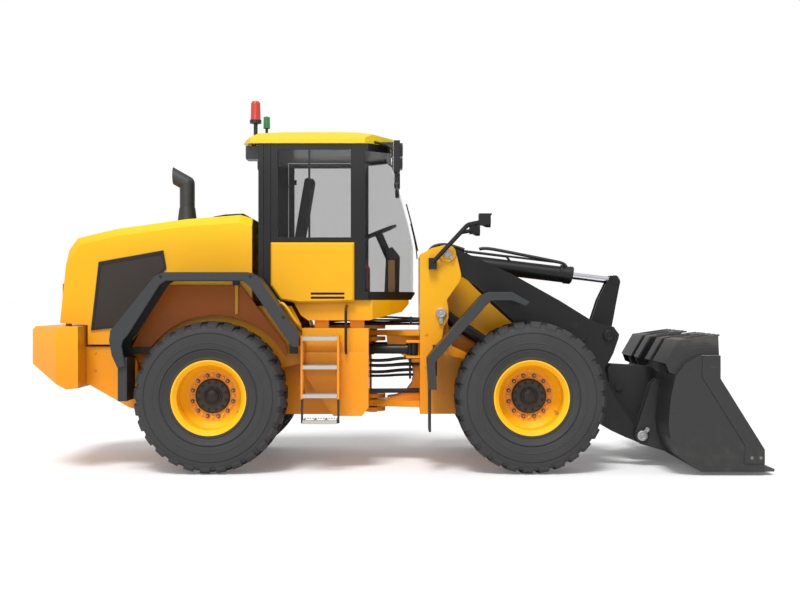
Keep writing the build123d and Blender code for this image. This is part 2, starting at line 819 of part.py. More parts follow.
boom_disc_rows = (
    # pin, radius, near share, far share
    (cross_tube_share, 100.0, 0.0, 0.535),
    (cross_tube_share, 112.0, 0.455, 0.541),
    (cross_tube_share, 86.0, 0.535, 0.552),
    (crank_pivot_share, 62.0, 0.100, 0.165),
    (crank_pivot_share, crank_pin, 0.0, 0.165),
    (crank_pivot_share, 56.0, 0.535, 0.549),
    (crank_pivot_share, 40.0, 0.535, 0.562),
    (lift_eye_share, 70.0, 0.450, 0.548),
    (lift_eye_share, lift_eye_pin, 0.345, 0.465),
    (bucket_pivot_share, 72.0, 0.457, 0.543),
)
boom_bore_rows = (
    # pin, radius, near share, far share
    (lift_pivot_share, lift_pivot_pin + pin_gap, 0.400, 0.640),
    (bucket_pivot_share, bucket_pin + pin_gap, 0.400, 0.620),
)
boom = joined(
    [
        slab(arm_shares, arm_layer_shares, both),
        slab(crank_ear_shares, boom_ear_shares, both),
        discs(boom_disc_rows),
    ]
)
save(without(boom, [discs(boom_bore_rows)]), "boom")

# Bell crank: two cheeks on a boss, open at the top and foot for the rod and the link
crank_cheek_shares = (
    (2.190, 1.888), (2.257, 1.890), (2.292, 1.830), (2.255, 1.640), (2.200, 1.340),
    (2.165, 1.200), (1.950, 0.470), (1.880, 0.430), (1.815, 0.490), (1.960, 1.050),
    (1.990, 1.420), (2.062, 1.639), (2.140, 1.800),
)
crank_disc_rows = (
    # pin, radius, near share, far share
    (crank_pivot_share, 84.0, 0.0, 0.095),
    (crank_top_share, 45.0, 0.055, 0.091),
)
crank_bore_rows = (
    # pin, radius, near share, far share
    (crank_pivot_share, crank_pin + pin_gap, 0.0, 0.120),
)
crank_foot_rows = (
    # pin, radius, near share, far share
    (crank_low_share, link_pin, 0.0, 0.093),
)
crank = joined([slab(crank_cheek_shares, crank_layer_shares, both), discs(crank_disc_rows)])
crank = without(crank, [discs(crank_bore_rows)])
save(joined([crank, discs(crank_foot_rows)]), "bell_crank")


def side_link(start_share, end_share, half_width, half_depth, eye_radius):
    """A straight bar in the side view with a round eye at each end, across the centre."""
    start = spot(start_share)
    end = spot(end_share)
    lean = degrees(atan2(end[1] - start[1], end[0] - start[0]))
    middle = ((start[0] + end[0]) / 2, (start[1] + end[1]) / 2)
    length = hypot(end[0] - start[0], end[1] - start[1])
    with BuildPart() as bar:
        with BuildSketch(Plane.XZ):
            with Locations(Location((middle[0], middle[1], 0), (0, 0, lean))):
                Rectangle(length, 2 * half_width)
            with Locations(start, end):
                Circle(eye_radius)
        extrude(amount=half_depth, both=True)
    return bar.part


link_half = 45.0
link_eye_radius = 58.0
link_bore_rows = (
    # pin, radius, near share, far share
    (crank_low_share, link_pin + pin_gap, 0.0, 0.100),
)
link_bar = side_link(crank_low_share, link_eye_share, link_half, link_half, link_eye_radius)
save(without(link_bar, [discs(link_bore_rows)]), "tilt_link")

# Bucket: a bent sheet between two side plates, with ears, a guard and side cutters
bucket_outer_shares = (
    (3.44, 0.035), (2.851, 0.035), (2.740, 0.105), (2.630, 0.215), (2.565, 0.345),
    (2.545, 0.480), (2.565, 0.720), (2.612, 0.931), (2.700, 1.045), (2.840, 1.122),
    (3.028, 1.122), (3.028, 0.904), (3.44, 0.240),
)
bucket_inner_shares = (
    (3.80, 0.062), (2.860, 0.062), (2.755, 0.128), (2.653, 0.230), (2.592, 0.352),
    (2.572, 0.480), (2.590, 0.715), (2.636, 0.920), (2.715, 1.022), (2.846, 1.095),
    (3.20, 1.095), (3.80, 1.095),
)
side_cutter_shares = (
    (2.864, 1.117), (3.028, 1.117), (3.028, 0.906), (3.440, 0.245), (3.440, 0.115),
    (3.249, 0.115), (3.262, 0.278), (2.855, 0.926),
)
top_room_shares = ((2.86, 1.05), (2.86, 1.30), (3.30, 1.30), (3.30, 1.05))
guard_shares = (
    (2.520, 1.045), (2.645, 1.262), (3.030, 1.318), (3.032, 1.303), (2.656, 1.247),
    (2.536, 1.036),
)
gusset_shares = (
    (2.525, 1.055), (2.650, 1.255), (3.020, 1.306), (3.028, 1.115), (2.860, 1.110),
    (2.810, 1.090), (2.640, 0.930), (2.560, 0.960),
)
outer_ear_shares = (
    (2.505, 0.800), (2.560, 0.860), (2.600, 0.860), (2.575, 0.470), (2.660, 0.220),
    (2.720, 0.130), (2.560, 0.180), (2.400, 0.225), (2.345, 0.300), (2.355, 0.350),
)
centre_ear_outline_shares = (
    (2.165, 0.770), (2.160, 0.940), (2.200, 0.985), (2.620, 0.960), (2.575, 0.470),
    (2.660, 0.220), (2.720, 0.130), (2.560, 0.180), (2.400, 0.225), (2.345, 0.300),
    (2.300, 0.480),
)
bucket_width_shares = (-1.25, 1.25)
bucket_room_width_shares = (-1.225, 1.225)
cutter_layer_shares = (1.25, 1.26)
guard_width_shares = (-1.20, 1.20)
ear_near_shares = (0.405, 0.445)
ear_far_shares = (0.555, 0.595)
gusset_layer_rows = (
    # near share, far share
    (1.185, 1.200),
    (0.790, 0.805),
    (0.390, 0.405),
)
bucket_boss_rows = (
    # pin, radius, near share, far share
    (bucket_pivot_share, 60.0, 0.555, 0.620),
    (bucket_pivot_share, 60.0, 0.385, 0.445),
    (bucket_pivot_share, bucket_pin, 0.385, 0.632),
    (link_eye_share, 42.0, 0.0456, 0.155),
)
guard_slot_rows = [
    # X from, X to, Y near, Y far, Z low, Z high
    (2.740, 2.960, near / 100, near / 100 + 0.15, 1.20, 1.40)
    for near in (22, 61, 84, 101)
]
guard_notch_rows = [
    # X from, X to, Y near, Y far, Z low, Z high
    (2.995, 3.060, near / 100, near / 100 + 0.09, 1.20, 1.40)
    for near in (25, 64, 87, 104)
]
guard_gap_rows = (
    # X from, X to, Y near, Y far, Z low, Z high: room for the crank and the arms when racked
    (2.40, 3.20, 0.0, 0.190, 1.02, 1.40),
    (2.40, 2.91, 0.435, 0.600, 1.02, 1.40),
)
bucket_solid = slab(bucket_outer_shares, bucket_width_shares)
bucket_shell = without(
    bucket_solid,
    [
        slab(bucket_inner_shares, bucket_room_width_shares),
        slab(top_room_shares, bucket_room_width_shares),
    ],
)
guard_cuts = [blocks(guard_slot_rows), blocks(guard_notch_rows), blocks(guard_gap_rows)]
guard = without(slab(guard_shares, guard_width_shares), guard_cuts)
gussets = joined([slab(gusset_shares, layer, both) for layer in gusset_layer_rows])
ears = joined(
    [
        slab(outer_ear_shares, ear_near_shares, both),
        slab(outer_ear_shares, ear_far_shares, both),
        slab(centre_ear_outline_shares, centre_ear_shares, both),
        discs(bucket_boss_rows),
    ]
)
outside = without(joined([ears, gussets]), [bucket_solid])
cutters = slab(side_cutter_shares, cutter_layer_shares, both)
save(joined([bucket_shell, guard, outside, cutters]), "bucket")
cutting_edge_shares = (
    (3.30, 0.062), (3.30, 0.094), (3.43, 0.094), (3.540, 0.060), (3.540, 0.035),
    (3.442, 0.035), (3.442, 0.062),
)
edge_width_shares = (-1.222, 1.222)
save(slab(cutting_edge_shares, edge_width_shares), "cutting_edge")

# Cylinders: a barrel and its rod along one line, drawn along X and then placed
gland_step = 8.0
base_gap = 16.0
neck_width_share = 1.2  # over the eye's radius
base_wall = 14.0
piston_length = 60.0
collar_length = 26.0


def barrel(length, radius, bore, eye_radius, eye_half, gland, base_pin):
    """A barrel from its base eye at the origin to its open gland, along +X."""
    with BuildPart() as tube:
        with BuildSketch(Plane.YZ):
            Rectangle(2 * eye_half, neck_width_share * eye_radius)
        extrude(amount=eye_radius + base_gap)
        with BuildSketch(Plane.YZ.offset(eye_radius + base_gap)):
            Circle(radius)
        extrude(amount=length - eye_radius - base_gap)
        for start, size in ((length - gland, gland), (eye_radius + base_gap, collar_length)):
            with BuildSketch(Plane.YZ.offset(start)):
                Circle(radius + gland_step)
            extrude(amount=size)
        with BuildSketch(Plane.XZ):
            Circle(eye_radius)
        extrude(amount=eye_half, both=True)
        with BuildSketch(Plane.YZ.offset(eye_radius + base_gap + base_wall)):
            Circle(bore)
        extrude(amount=length, mode=Mode.SUBTRACT)
        with BuildSketch(Plane.XZ):
            Circle(base_pin + pin_gap)
        extrude(amount=eye_half + pin_gap, both=True, mode=Mode.SUBTRACT)
    return tube.part


def piston_rod(start, end, radius, bore, eye_radius, eye_half):
    """A rod from its piston to the eye at its end, along +X."""
    with BuildPart() as shaft:
        with BuildSketch(Plane.YZ.offset(start)):
            Circle(radius)
        extrude(amount=end - start)
        with BuildSketch(Plane.YZ.offset(start)):
            Circle(bore)
        extrude(amount=piston_length)
        with BuildSketch(Plane.XZ):
            with Locations((end, 0)):
                Circle(eye_radius)
        extrude(amount=eye_half, both=True)
    return shaft.part


def placed(piece, share, far_share, y_share):
    """A piece drawn along +X, laid from one side-view pin towards another."""
    x, z = spot(share)
    far_x, far_z = spot(far_share)
    lean = degrees(atan2(far_z - z, far_x - x))
    return Pos(x, y_share * grid, z) * Rot(0, -lean, 0) * piece


def reach(share, far_share):
    """The length between two side-view pins."""
    return hypot(far_share[0] - share[0], far_share[1] - share[1]) * grid


tilt_span = reach(tilt_base_share, crank_top_share)
tilt_length = 1395.0
tilt_radius = 82.0
tilt_bore = 68.0
tilt_eye = 66.0
tilt_eye_half = 66.0
tilt_gland = 70.0
tilt_stroke = 620.0
tilt_rod_radius = 36.0
tilt_rod_eye = 58.0
tilt_rod_half = 50.0
tilt_barrel = barrel(
    tilt_length, tilt_radius, tilt_bore, tilt_eye, tilt_eye_half, tilt_gland, tilt_base_pin
)
tilt_rod = piston_rod(
    tilt_span - tilt_stroke, tilt_span, tilt_rod_radius, tilt_bore - pin_gap, tilt_rod_eye,
    tilt_rod_half,
)
# Oil pipes along the tilt barrel, in its own drawing: along X, across Y and up
tilt_pipe_rows = (
    # across share, radius, bend, points of X share and Z share
    (0.034, 11.0, 30.0, ((0.16, 0.070), (0.16, 0.120), (1.31, 0.120), (1.36, 0.070))),
    (-0.034, 11.0, 30.0, ((0.30, 0.070), (0.30, 0.112), (0.72, 0.112), (0.76, 0.070))),
)
tilt_pipes = [
    rail([(x, across, z) for x, z in points], radius, bend)
    for across, radius, bend, points in tilt_pipe_rows
]
tilt_inside = rod((0.12, 0, 0), (1.50, 0, 0), tilt_bore)
tilt_pipes = without(joined(tilt_pipes), [tilt_inside])
save(placed(joined([tilt_barrel, tilt_pipes]), tilt_base_share, crank_top_share, 0), "tilt_barrel")
save(placed(tilt_rod, tilt_base_share, crank_top_share, 0), "tilt_rod")

lift_span = reach(lift_base_share, lift_eye_share)
lift_length = 1180.0
lift_radius = 62.0
lift_bore = 52.0
lift_eye_radius = 58.0
lift_eye_half = 42.0
lift_gland = 60.0
lift_stroke = 1160.0
lift_rod_radius = 36.0
lift_barrel = barrel(
    lift_length, lift_radius, lift_bore, lift_eye_radius, lift_eye_half, lift_gland, lift_base_pin
)
lift_rod = piston_rod(
    lift_span - lift_stroke, lift_span, lift_rod_radius, lift_bore - pin_gap, lift_eye_radius,
    lift_eye_half,
)
steer_span = hypot(steer_eye_x - steer_base_x, steer_eye_y - steer_base_y)
steer_length = 445.0
steer_radius = 48.0
steer_bore = 38.0
steer_eye_radius = 40.0
steer_eye_half = 60.0
steer_gland = 40.0
steer_stroke = 480.0
steer_rod_radius = 22.0
steer_rod_eye = 38.0
steer_rod_half = 34.0
steer_barrel = barrel(
    steer_length, steer_radius, steer_bore, steer_eye_radius, steer_eye_half, steer_gland, steer_pin
)
steer_rod = piston_rod(
    steer_span - steer_stroke, steer_span, steer_rod_radius, steer_bore - pin_gap, steer_rod_eye,
    steer_rod_half,
)
for name, side in (("left", 1), ("right", -1)):
    lift_place = side * lift_y_share
    save(placed(lift_barrel, lift_base_share, lift_eye_share, lift_place), "lift_barrel_" + name)
    save(placed(lift_rod, lift_base_share, lift_eye_share, lift_place), "lift_rod_" + name)
    lean = degrees(atan2(side * (steer_eye_y - steer_base_y), steer_eye_x - steer_base_x))
    place = Pos(steer_base_x, side * steer_base_y, steer_z) * Rot(0, 0, lean) * Rot(90, 0, 0)
    save(place * steer_barrel, "steer_barrel_" + name)
    save(place * steer_rod, "steer_rod_" + name)

# Cab: a hollow shell, narrow in plan at its front, with its windows and doorway cut
cab_side_shares = (
    (-1.334, 1.760), (-1.230, 1.640), (0.150, 1.640), (0.192, 1.700), (0.200, 2.126),
    (0.140, 2.400), (0.040, 2.750), (-0.070, 3.165), (-1.334, 3.165),
)
cab_plan_shares = (
    (-1.40, -0.70), (-0.27, -0.70), (-0.06, -0.49), (0.080, -0.32), (0.165, -0.20),
    (0.190, -0.10), (0.190, 0.10), (0.165, 0.20), (0.080, 0.32), (-0.06, 0.49),
    (-0.27, 0.70), (-1.40, 0.70),
)
cab_wall = 46.0
glass_inset = 14.0
glass_thick = 6.0
cab_width_shares = (-0.80, 0.80)
cab_height_shares = (1.640, 3.165)


def cab_body(inset):
    """The cab's side view crossed with its plan, drawn in by an inset all round."""
    low, high = (share * grid for share in cab_height_shares)
    near, far = (share * grid for share in cab_width_shares)
    with BuildPart() as body:
        with BuildSketch(Plane.XZ.offset(-far)):
            with BuildLine():
                Polyline(*[spot(share) for share in cab_side_shares], close=True)
            make_face()
            if inset:
                offset(amount=-inset, kind=Kind.INTERSECTION, mode=Mode.REPLACE)
        extrude(amount=far - near)
        with BuildSketch(Plane.XY.offset(low)):
            with BuildLine():
                Polyline(*[spot(share) for share in cab_plan_shares], close=True)
            make_face()
            if inset:
                offset(amount=-inset, kind=Kind.INTERSECTION, mode=Mode.REPLACE)
        extrude(amount=high - low, mode=Mode.INTERSECT)
    return body.part


side_window_shares = ((-1.155, 2.250), (-0.440, 2.250), (-0.440, 3.105), (-1.155, 3.105))
door_hole_shares = ((-1.165, 1.705), (-0.400, 1.705), (-0.400, 3.115), (-1.165, 3.115))
screen_shares = ((-0.300, 1.720), (0.300, 1.720), (0.300, 3.090), (-0.300, 3.090))
rear_window_rows = (
    # X from, X to, Y near, Y far, Z low, Z high
    (-1.45, -1.20, 0.0, 0.60, 2.300, 3.080),
)
wall_cut_shares = (0.60, 0.80)
side_cut = slab(side_window_shares, wall_cut_shares, right)
door_cut = slab(door_hole_shares, wall_cut_shares, left)
screen_cut = slab(screen_shares, cab_width_shares)
rear_cut = blocks(rear_window_rows)
cab_shell = without(cab_body(0), [cab_body(cab_wall), side_cut, door_cut, screen_cut, rear_cut])
door_hinge_x_share = -1.150
door_hinge_y_share = 0.722
door_hinge_rows = (
    # low share, high share of each hinge pin
    (1.90, 2.01),
    (2.85, 2.96),
)
hinge_bits = []
for low, high in door_hinge_rows:
    hinge_bits.append(
        rod((door_hinge_x_share, door_hinge_y_share, low),
            (door_hinge_x_share, door_hinge_y_share, high), door_pin)
    )
    hinge_bits.append(
        blocks(
            (
                (-1.190, -1.166, 0.690, 0.735, low, low + 0.03),
                (-1.166, -1.142, 0.711, 0.735, low, low + 0.03),
            ),
            left,
        )
    )
window_bar_rows = (
    # X from, X to, Y near, Y far, Z low, Z high
    (-0.856, -0.836, 0.664, 0.678, 2.240, 3.115),
)
rear_pillar_rows = (
    # X from, X to, Y near, Y far, Z low, Z high
    (-1.340, -1.290, 0.690, 0.712, 1.80, 3.160),
    (-1.250, -1.222, 0.690, 0.712, 1.66, 3.160),
)
cab_shell = joined(
    [cab_shell, blocks(window_bar_rows, right), blocks(rear_pillar_rows, right)] + hinge_bits
)
panes = without(cab_body(glass_inset), [cab_body(glass_inset + glass_thick)])
openings = joined([side_cut, screen_cut, rear_cut])
cab_glass = within(panes, [openings])
save(without(cab_glass, [blocks(window_bar_rows, right)]), "cab_glass")

# The pressed panel under the side window and the frame under the cab's floor
side_panel_shares = (
    (-1.217, 2.199), (-0.405, 2.199), (-0.405, 1.625), (-0.95, 1.610), (-1.12, 1.640),
    (-1.217, 1.780),
)
side_panel_layer_shares = (0.690, 0.740)
panel_edge = 16.0
vent_rows = (
    # X from, X to, Y near, Y far, Z low, Z high
    (-0.827, -0.500, 0.60, 0.80, 1.690, 1.712),
    (-0.827, -0.500, 0.60, 0.80, 1.650, 1.672),
)
floor_shares = (
    (-0.990, 1.600), (-0.930, 1.490), (-0.860, 1.440), (-0.264, 1.440), (0.060, 1.520),
    (0.128, 1.600), (0.128, 1.650), (-0.990, 1.650),
)
floor_width_shares = (-0.66, 0.66)
with BuildPart() as side_panel:
    add(slab(side_panel_shares, side_panel_layer_shares, right))
    chamfer(faces().sort_by(Axis.Y)[0].edges(), panel_edge)
side_panel = without(side_panel.part, [blocks(vent_rows, right)])
cab_floor = within(
    slab(floor_shares, floor_width_shares), [plan_slab(cab_plan_shares, (1.40, 1.70))]
)
save(joined([cab_shell, side_panel, cab_floor]), "cab_frame")

# Roof: a shallow dome with a rounded plan, and the lamps under its ends
roof_side_shares = (
    (-1.492, 3.165), (-1.480, 3.190), (-1.345, 3.270), (-0.900, 3.296), (-0.360, 3.280),
    (-0.034, 3.225), (-0.020, 3.200), (-0.150, 3.165),
)
roof_plan_shares = (
    (-1.50, -0.60), (-1.42, -0.72), (-0.30, -0.72), (-0.02, -0.50), (0.02, -0.30),
    (0.02, 0.30), (-0.02, 0.50), (-0.30, 0.72), (-1.42, 0.72), (-1.50, 0.60),
)
roof_cross_shares = (
    (-0.73, 3.10), (-0.73, 3.215), (-0.62, 3.285), (-0.30, 3.32), (0.30, 3.32),
    (0.62, 3.285), (0.73, 3.215), (0.73, 3.10),
)
roof = within(
    slab(roof_side_shares, cab_width_shares),
    [plan_slab(roof_plan_shares, (3.10, 3.40)), cross_slab(roof_cross_shares, (-1.60, 0.20))],
)
save(roof, "cab_roof")
lamp_pod_rows = (
    # X from, X to, Y near, Y far, Z low, Z high
    (-1.470, -1.345, 0.420, 0.640, 3.020, 3.150),
    (-1.420, -1.380, 0.500, 0.560, 3.150, 3.175),
    (-0.045, 0.065, 0.505, 0.690, 3.040, 3.170),
    (-0.170, -0.030, 0.560, 0.600, 3.166, 3.190),
)
beacon_rows = (
    # x share, y share, profile of radius and height
    (-1.400, -0.400, ((0.0, 3200.0), (20.0, 3200.0), (20.0, 3390.0), (58.0, 3400.0),
                      (58.0, 3432.0), (50.0, 3440.0), (46.0, 3600.0), (34.0, 3620.0),
                      (0.0, 3620.0))),
    (-1.310, -0.200, ((0.0, 3220.0), (14.0, 3220.0), (14.0, 3370.0), (34.0, 3375.0),
                      (32.0, 3490.0), (0.0, 3500.0))),
)
beacons = [standing(profile, x, y) for x, y, profile in beacon_rows]
lamp_pods = joined([blocks(lamp_pod_rows)] + beacons)
save(without(lamp_pods, [roof]), "beacons")

# Door: a frame round its window, with its knuckles and handle
door_shares = ((-1.160, 1.710), (-0.406, 1.710), (-0.406, 3.109), (-1.160, 3.109))
door_window_shares = ((-1.100, 2.230), (-0.460, 2.230), (-0.460, 3.060), (-1.100, 3.060))
door_layer_shares = (0.660, 0.700)
door_cut_shares = (0.60, 0.80)
door_glass_layer_shares = (0.680, 0.686)
door_handle_rows = (
    # X from, X to, Y near, Y far, Z low, Z high
    (-0.470, -0.440, 0.700, 0.735, 2.060, 2.085),
    (-0.470, -0.440, 0.700, 0.735, 2.185, 2.210),
    (-0.470, -0.440, 0.725, 0.740, 2.060, 2.210),
)
door_panel = without(
    slab(door_shares, door_layer_shares), [slab(door_window_shares, door_cut_shares)]
)
door_bits = [door_panel, blocks(door_handle_rows, left)]
door_bores = []
for low, high in door_hinge_rows:
    door_bits.append(
        blocks(((-1.160, -1.080, 0.700, 0.738, low + 0.036, low + 0.086),), left)
    )
    door_bores.append(
        rod((door_hinge_x_share, door_hinge_y_share, low),
            (door_hinge_x_share, door_hinge_y_share, high + 0.01), door_pin + pin_gap)
    )
save(without(joined(door_bits), door_bores), "cab_door")
save(slab(door_window_shares, door_glass_layer_shares), "door_glass")

# Inside the cab: the seat, the side console, the dash and the hand wheel
cushion_shares = (
    (-0.93, 2.10), (-0.94, 2.20), (-0.80, 2.235), (-0.52, 2.245), (-0.44, 2.215),
    (-0.43, 2.150), (-0.50, 2.10),
)
back_shares = (
    (-0.93, 2.215), (-0.83, 2.225), (-0.865, 2.45), (-0.935, 2.74), (-0.985, 2.92),
    (-1.045, 2.92), (-1.035, 2.60), (-0.985, 2.30),
)
cushion_width_shares = (-0.26, 0.26)
back_width_shares = (-0.24, 0.24)
seat_block_rows = (
    # X from, X to, Y near, Y far, Z low, Z high
    (-0.86, -0.56, 0.0, 0.180, 1.686, 1.900),
    (-0.82, -0.60, 0.0, 0.140, 1.900, 2.100),
)
seat = joined(
    [
        slab(cushion_shares, cushion_width_shares),
        slab(back_shares, back_width_shares),
        blocks(seat_block_rows),
    ]
)
save(seat, "seat")
dash_shares = (
    (-0.12, 1.686), (0.030, 1.686), (0.040, 2.080), (-0.04, 2.180), (-0.10, 2.150),
)
dash_width_shares = (-0.17, 0.17)
column_radius = 40.0
column_share_ends = ((-0.06, 0, 2.05), (-0.185, 0, 2.33))
hand_wheel_radius = 190.0
hand_grip_radius = 15.0
hand_wheel_tilt = -22.0
spoke_width = 30.0
spoke_half = 8.0
with BuildPart() as hand_wheel:
    with BuildSketch(Plane.XZ):
        with Locations((hand_wheel_radius, 0)):
            RegularPolygon(hand_grip_radius, 6)
    revolve(axis=Axis.Z)
    with BuildSketch(Plane.XY):
        Rectangle(2 * hand_wheel_radius - hand_grip_radius, spoke_width)
        Rectangle(spoke_width, 2 * hand_wheel_radius - hand_grip_radius)
    extrude(amount=spoke_half, both=True)
wheel_place = Pos(*[share * grid for share in column_share_ends[1]])
controls = [
    slab(dash_shares, dash_width_shares),
    rod(*column_share_ends, column_radius),
    wheel_place * Rot(0, hand_wheel_tilt, 0) * hand_wheel.part,
]
save(joined(controls), "controls")

# Tanks under the cab, with the slot that the steering cylinder swings through
tank_low_shares = (
    (-0.905, 1.135), (-0.263, 1.135), (-0.263, 0.600), (-0.330, 0.520), (-0.600, 0.520),
    (-0.905, 0.950),
)
tank_high_shares = ((-0.905, 1.130), (-0.905, 1.365), (-0.263, 1.365), (-0.263, 1.130))
tank_low_layer_shares = (0.405, 0.840)
tank_high_layer_shares = (0.405, 0.800)
tank_foot_rows = (
    # X from, X to, Y near, Y far, Z low, Z high
    (-0.80, -0.66, 0.450, 0.600, 1.360, 1.440),
    (-0.45, -0.31, 0.450, 0.600, 1.360, 1.440),
    (-0.72, -0.66, 0.400, 0.410, 0.900, 1.000),
)
tank_slot_rows = (
    # X from, X to, Y near, Y far, Z low, Z high
    (-0.720, -0.200, 0.390, 0.700, 1.060, 1.240),
)
tanks = joined(
    [
        slab(tank_low_shares, tank_low_layer_shares, both),
        slab(tank_high_shares, tank_high_layer_shares, both),
        blocks(tank_foot_rows),
    ]
)
save(without(tanks, [blocks(tank_slot_rows)]), "side_tanks")

# Ladders: slotted treads between stringers, a hung lower step and a hand rail
tread_rows = (
    # Z high, Y near, Y far
    (1.290, 0.860, 1.100),
    (1.018, 0.860, 1.100),
    (0.746, 0.860, 1.100),
    (0.503, 0.900, 1.130),
)
tread_x_shares = (-0.880, -0.555)
tread_thick_share = 0.034
tread_slot_rows = (
    # X from, X to
    (-0.865, -0.780),
    (-0.760, -0.675),
    (-0.655, -0.570),
)
ladder_rows = []
slot_rows = []
for high, near, far in tread_rows:
    ladder_rows.append((*tread_x_shares, near, far, high - tread_thick_share, high))
    for x_from, x_to in tread_slot_rows:
        slot_rows.append((x_from, x_to, near + 0.04, near + 0.09, 0.0, high + 0.001))
        slot_rows.append((x_from, x_to, near + 0.13, near + 0.18, 0.0, high + 0.001))
stringer_rows = (
    # X from, X to, Y near, Y far, Z low, Z high
    (-0.900, -0.880, 0.840, 1.090, 0.700, 1.300),
    (-0.555, -0.535, 0.840, 1.090, 0.700, 1.300),
    (-0.900, -0.880, 1.010, 1.050, 0.469, 0.710),
    (-0.555, -0.535, 1.010, 1.050, 0.469, 0.710),
)
stringer_gap_rows = (
    # X from, X to, Y near, Y far, Z low, Z high
    (-0.95, -0.500, 0.875, 1.055, 0.780, 0.960),
    (-0.95, -0.500, 0.875, 1.055, 1.050, 1.230),
)
rail_radius = 13.0
rail_bend = 40.0
hand_rail_shares = ((-0.48, 0.82, 1.10), (-0.48, 0.90, 1.16), (-0.48, 0.90, 1.56), (-0.48, 0.72, 1.62))
ladder_treads = without(blocks(ladder_rows), [blocks(slot_rows)])
stringers = without(blocks(stringer_rows), [blocks(stringer_gap_rows)])
save(joined([ladder_treads, stringers]), "ladders")

# Lamps on bent arms from the tower, and mirrors on arms from the roof
lamp_arm_radius = 22.0
lamp_arm_bend = 70.0
lamp_foot_rows = (
    # X from, X to, Y near, Y far, Z low, Z high
    (0.320, 0.400, 0.600, 0.676, 1.940, 2.050),
)
lamp_yoke_rows = (
    # X from, X to, Y near, Y far, Z low, Z high
    (0.800, 0.900, 0.760, 0.780, 2.360, 2.470),
    (0.800, 0.900, 0.900, 0.920, 2.360, 2.470),
    (0.800, 0.920, 0.760, 0.920, 2.455, 2.470),
)
lamp_profile = (
    # radius, place along X from the lamp's back
    (0.0, 0.0),
    (42.0, 6.0),
    (62.0, 50.0),
    (62.0, 92.0),
    (54.0, 92.0),
    (50.0, 84.0),
    (0.0, 84.0),
)
lamp_back_shares = (0.820, 0.840, 2.400)
with BuildPart() as lamp_bowl:
    with BuildSketch(Plane.XZ):
        with BuildLine():
            Polyline(*[(along, radius) for radius, along in lamp_profile], close=True)
        make_face()
    revolve(axis=Axis.X)
lamps = [blocks(lamp_foot_rows), blocks(lamp_yoke_rows)]
for side in both:
    lamps.append(
        rail(
            (
                (0.364, side * 0.662, 2.01), (0.700, side * 0.715, 2.372),
                (0.860, side * 0.800, 2.400),
            ),
            lamp_arm_radius,
            lamp_arm_bend,
        )
    )
    x, y, z = (share * grid for share in lamp_back_shares)
    lamps.append(Pos(x, side * y, z) * lamp_bowl.part)
save(joined(lamps), "headlamps")

mirror_arm_radius = 12.0
mirror_arm_bend = 40.0
mirror_head_rows = (
    # X from, X to, Y near, Y far, Z low, Z high
    (-0.020, 0.040, 0.800, 1.000, 2.860, 3.160),
    (-0.010, 0.030, 0.840, 0.960, 2.760, 2.850),
)
mirror_tie_rows = (
    # X from, X to, Y near, Y far, Z low, Z high
    (0.004, 0.016, 0.894, 0.906, 2.840, 2.870),
)
mirrors = [blocks(mirror_head_rows), blocks(mirror_tie_rows)]
for side in both:
    mirrors.append(
        rail(
            (
                (-0.220, side * 0.620, 3.190), (-0.080, side * 0.860, 3.130),
                (0.010, side * 0.880, 3.050),
            ),
            mirror_arm_radius,
            mirror_arm_bend,
        )
    )
save(without(joined(mirrors), [roof]), "mirrors")
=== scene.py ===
# %% [markdown]
# # A wheel loader, dressed for the studio
# The solid model of an articulated wheel loader comes in as a fixed frame. Most pieces that
# this notebook adds ride on one of its bodies, so the arm, the wheels and the pivot still
# move. First the frame is loaded.

# %% Load the frame
import math

import bmesh
import bpy
from mathutils import Matrix, Vector


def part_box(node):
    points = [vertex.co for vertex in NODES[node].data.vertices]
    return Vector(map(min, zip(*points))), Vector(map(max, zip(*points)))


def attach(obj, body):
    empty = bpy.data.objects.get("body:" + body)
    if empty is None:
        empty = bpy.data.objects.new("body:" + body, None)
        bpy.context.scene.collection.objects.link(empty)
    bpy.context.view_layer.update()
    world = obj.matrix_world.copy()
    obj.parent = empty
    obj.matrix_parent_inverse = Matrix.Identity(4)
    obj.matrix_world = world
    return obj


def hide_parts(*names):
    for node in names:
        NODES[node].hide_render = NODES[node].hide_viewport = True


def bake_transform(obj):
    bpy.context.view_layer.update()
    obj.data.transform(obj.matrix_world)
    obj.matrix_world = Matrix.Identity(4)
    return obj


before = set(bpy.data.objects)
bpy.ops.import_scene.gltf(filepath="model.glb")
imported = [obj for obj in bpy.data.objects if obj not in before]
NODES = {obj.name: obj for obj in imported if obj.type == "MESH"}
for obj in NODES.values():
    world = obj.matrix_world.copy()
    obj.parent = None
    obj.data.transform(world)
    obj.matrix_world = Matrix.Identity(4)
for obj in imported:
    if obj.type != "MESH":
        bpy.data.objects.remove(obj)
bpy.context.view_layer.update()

# %% [markdown]
# ## Camera
# The photograph was taken from the machine's right side with a long lens, level with the
# hood. A pinhole fitted to the wheel centres, the roof and the bucket's tip gives the place
# of the camera. No shift is needed, because the horizon lies at the middle of the picture.

# %% Camera
IMAGE_WIDTH_PX = 800
FOCAL_PX = 1303.0
SENSOR_MM = 36.0
CAMERA_PLACE = (0.04, -13.4, 1.639)

scene = bpy.context.scene


def stand(name, data, place=(0, 0, 0)):
    """An object of that data, put in the scene."""
    item = bpy.data.objects.new(name, data)
    item.location = place
    scene.collection.objects.link(item)
    return item


camera_data = bpy.data.cameras.new("camera")
camera_data.sensor_width = SENSOR_MM
camera_data.lens = SENSOR_MM * FOCAL_PX / IMAGE_WIDTH_PX
camera_data.dof.use_dof = False
camera = stand("camera", camera_data, CAMERA_PLACE)
camera.rotation_euler = (math.radians(90), 0, 0)
scene.camera = camera
print("lens", round(camera_data.lens, 2), "mm")

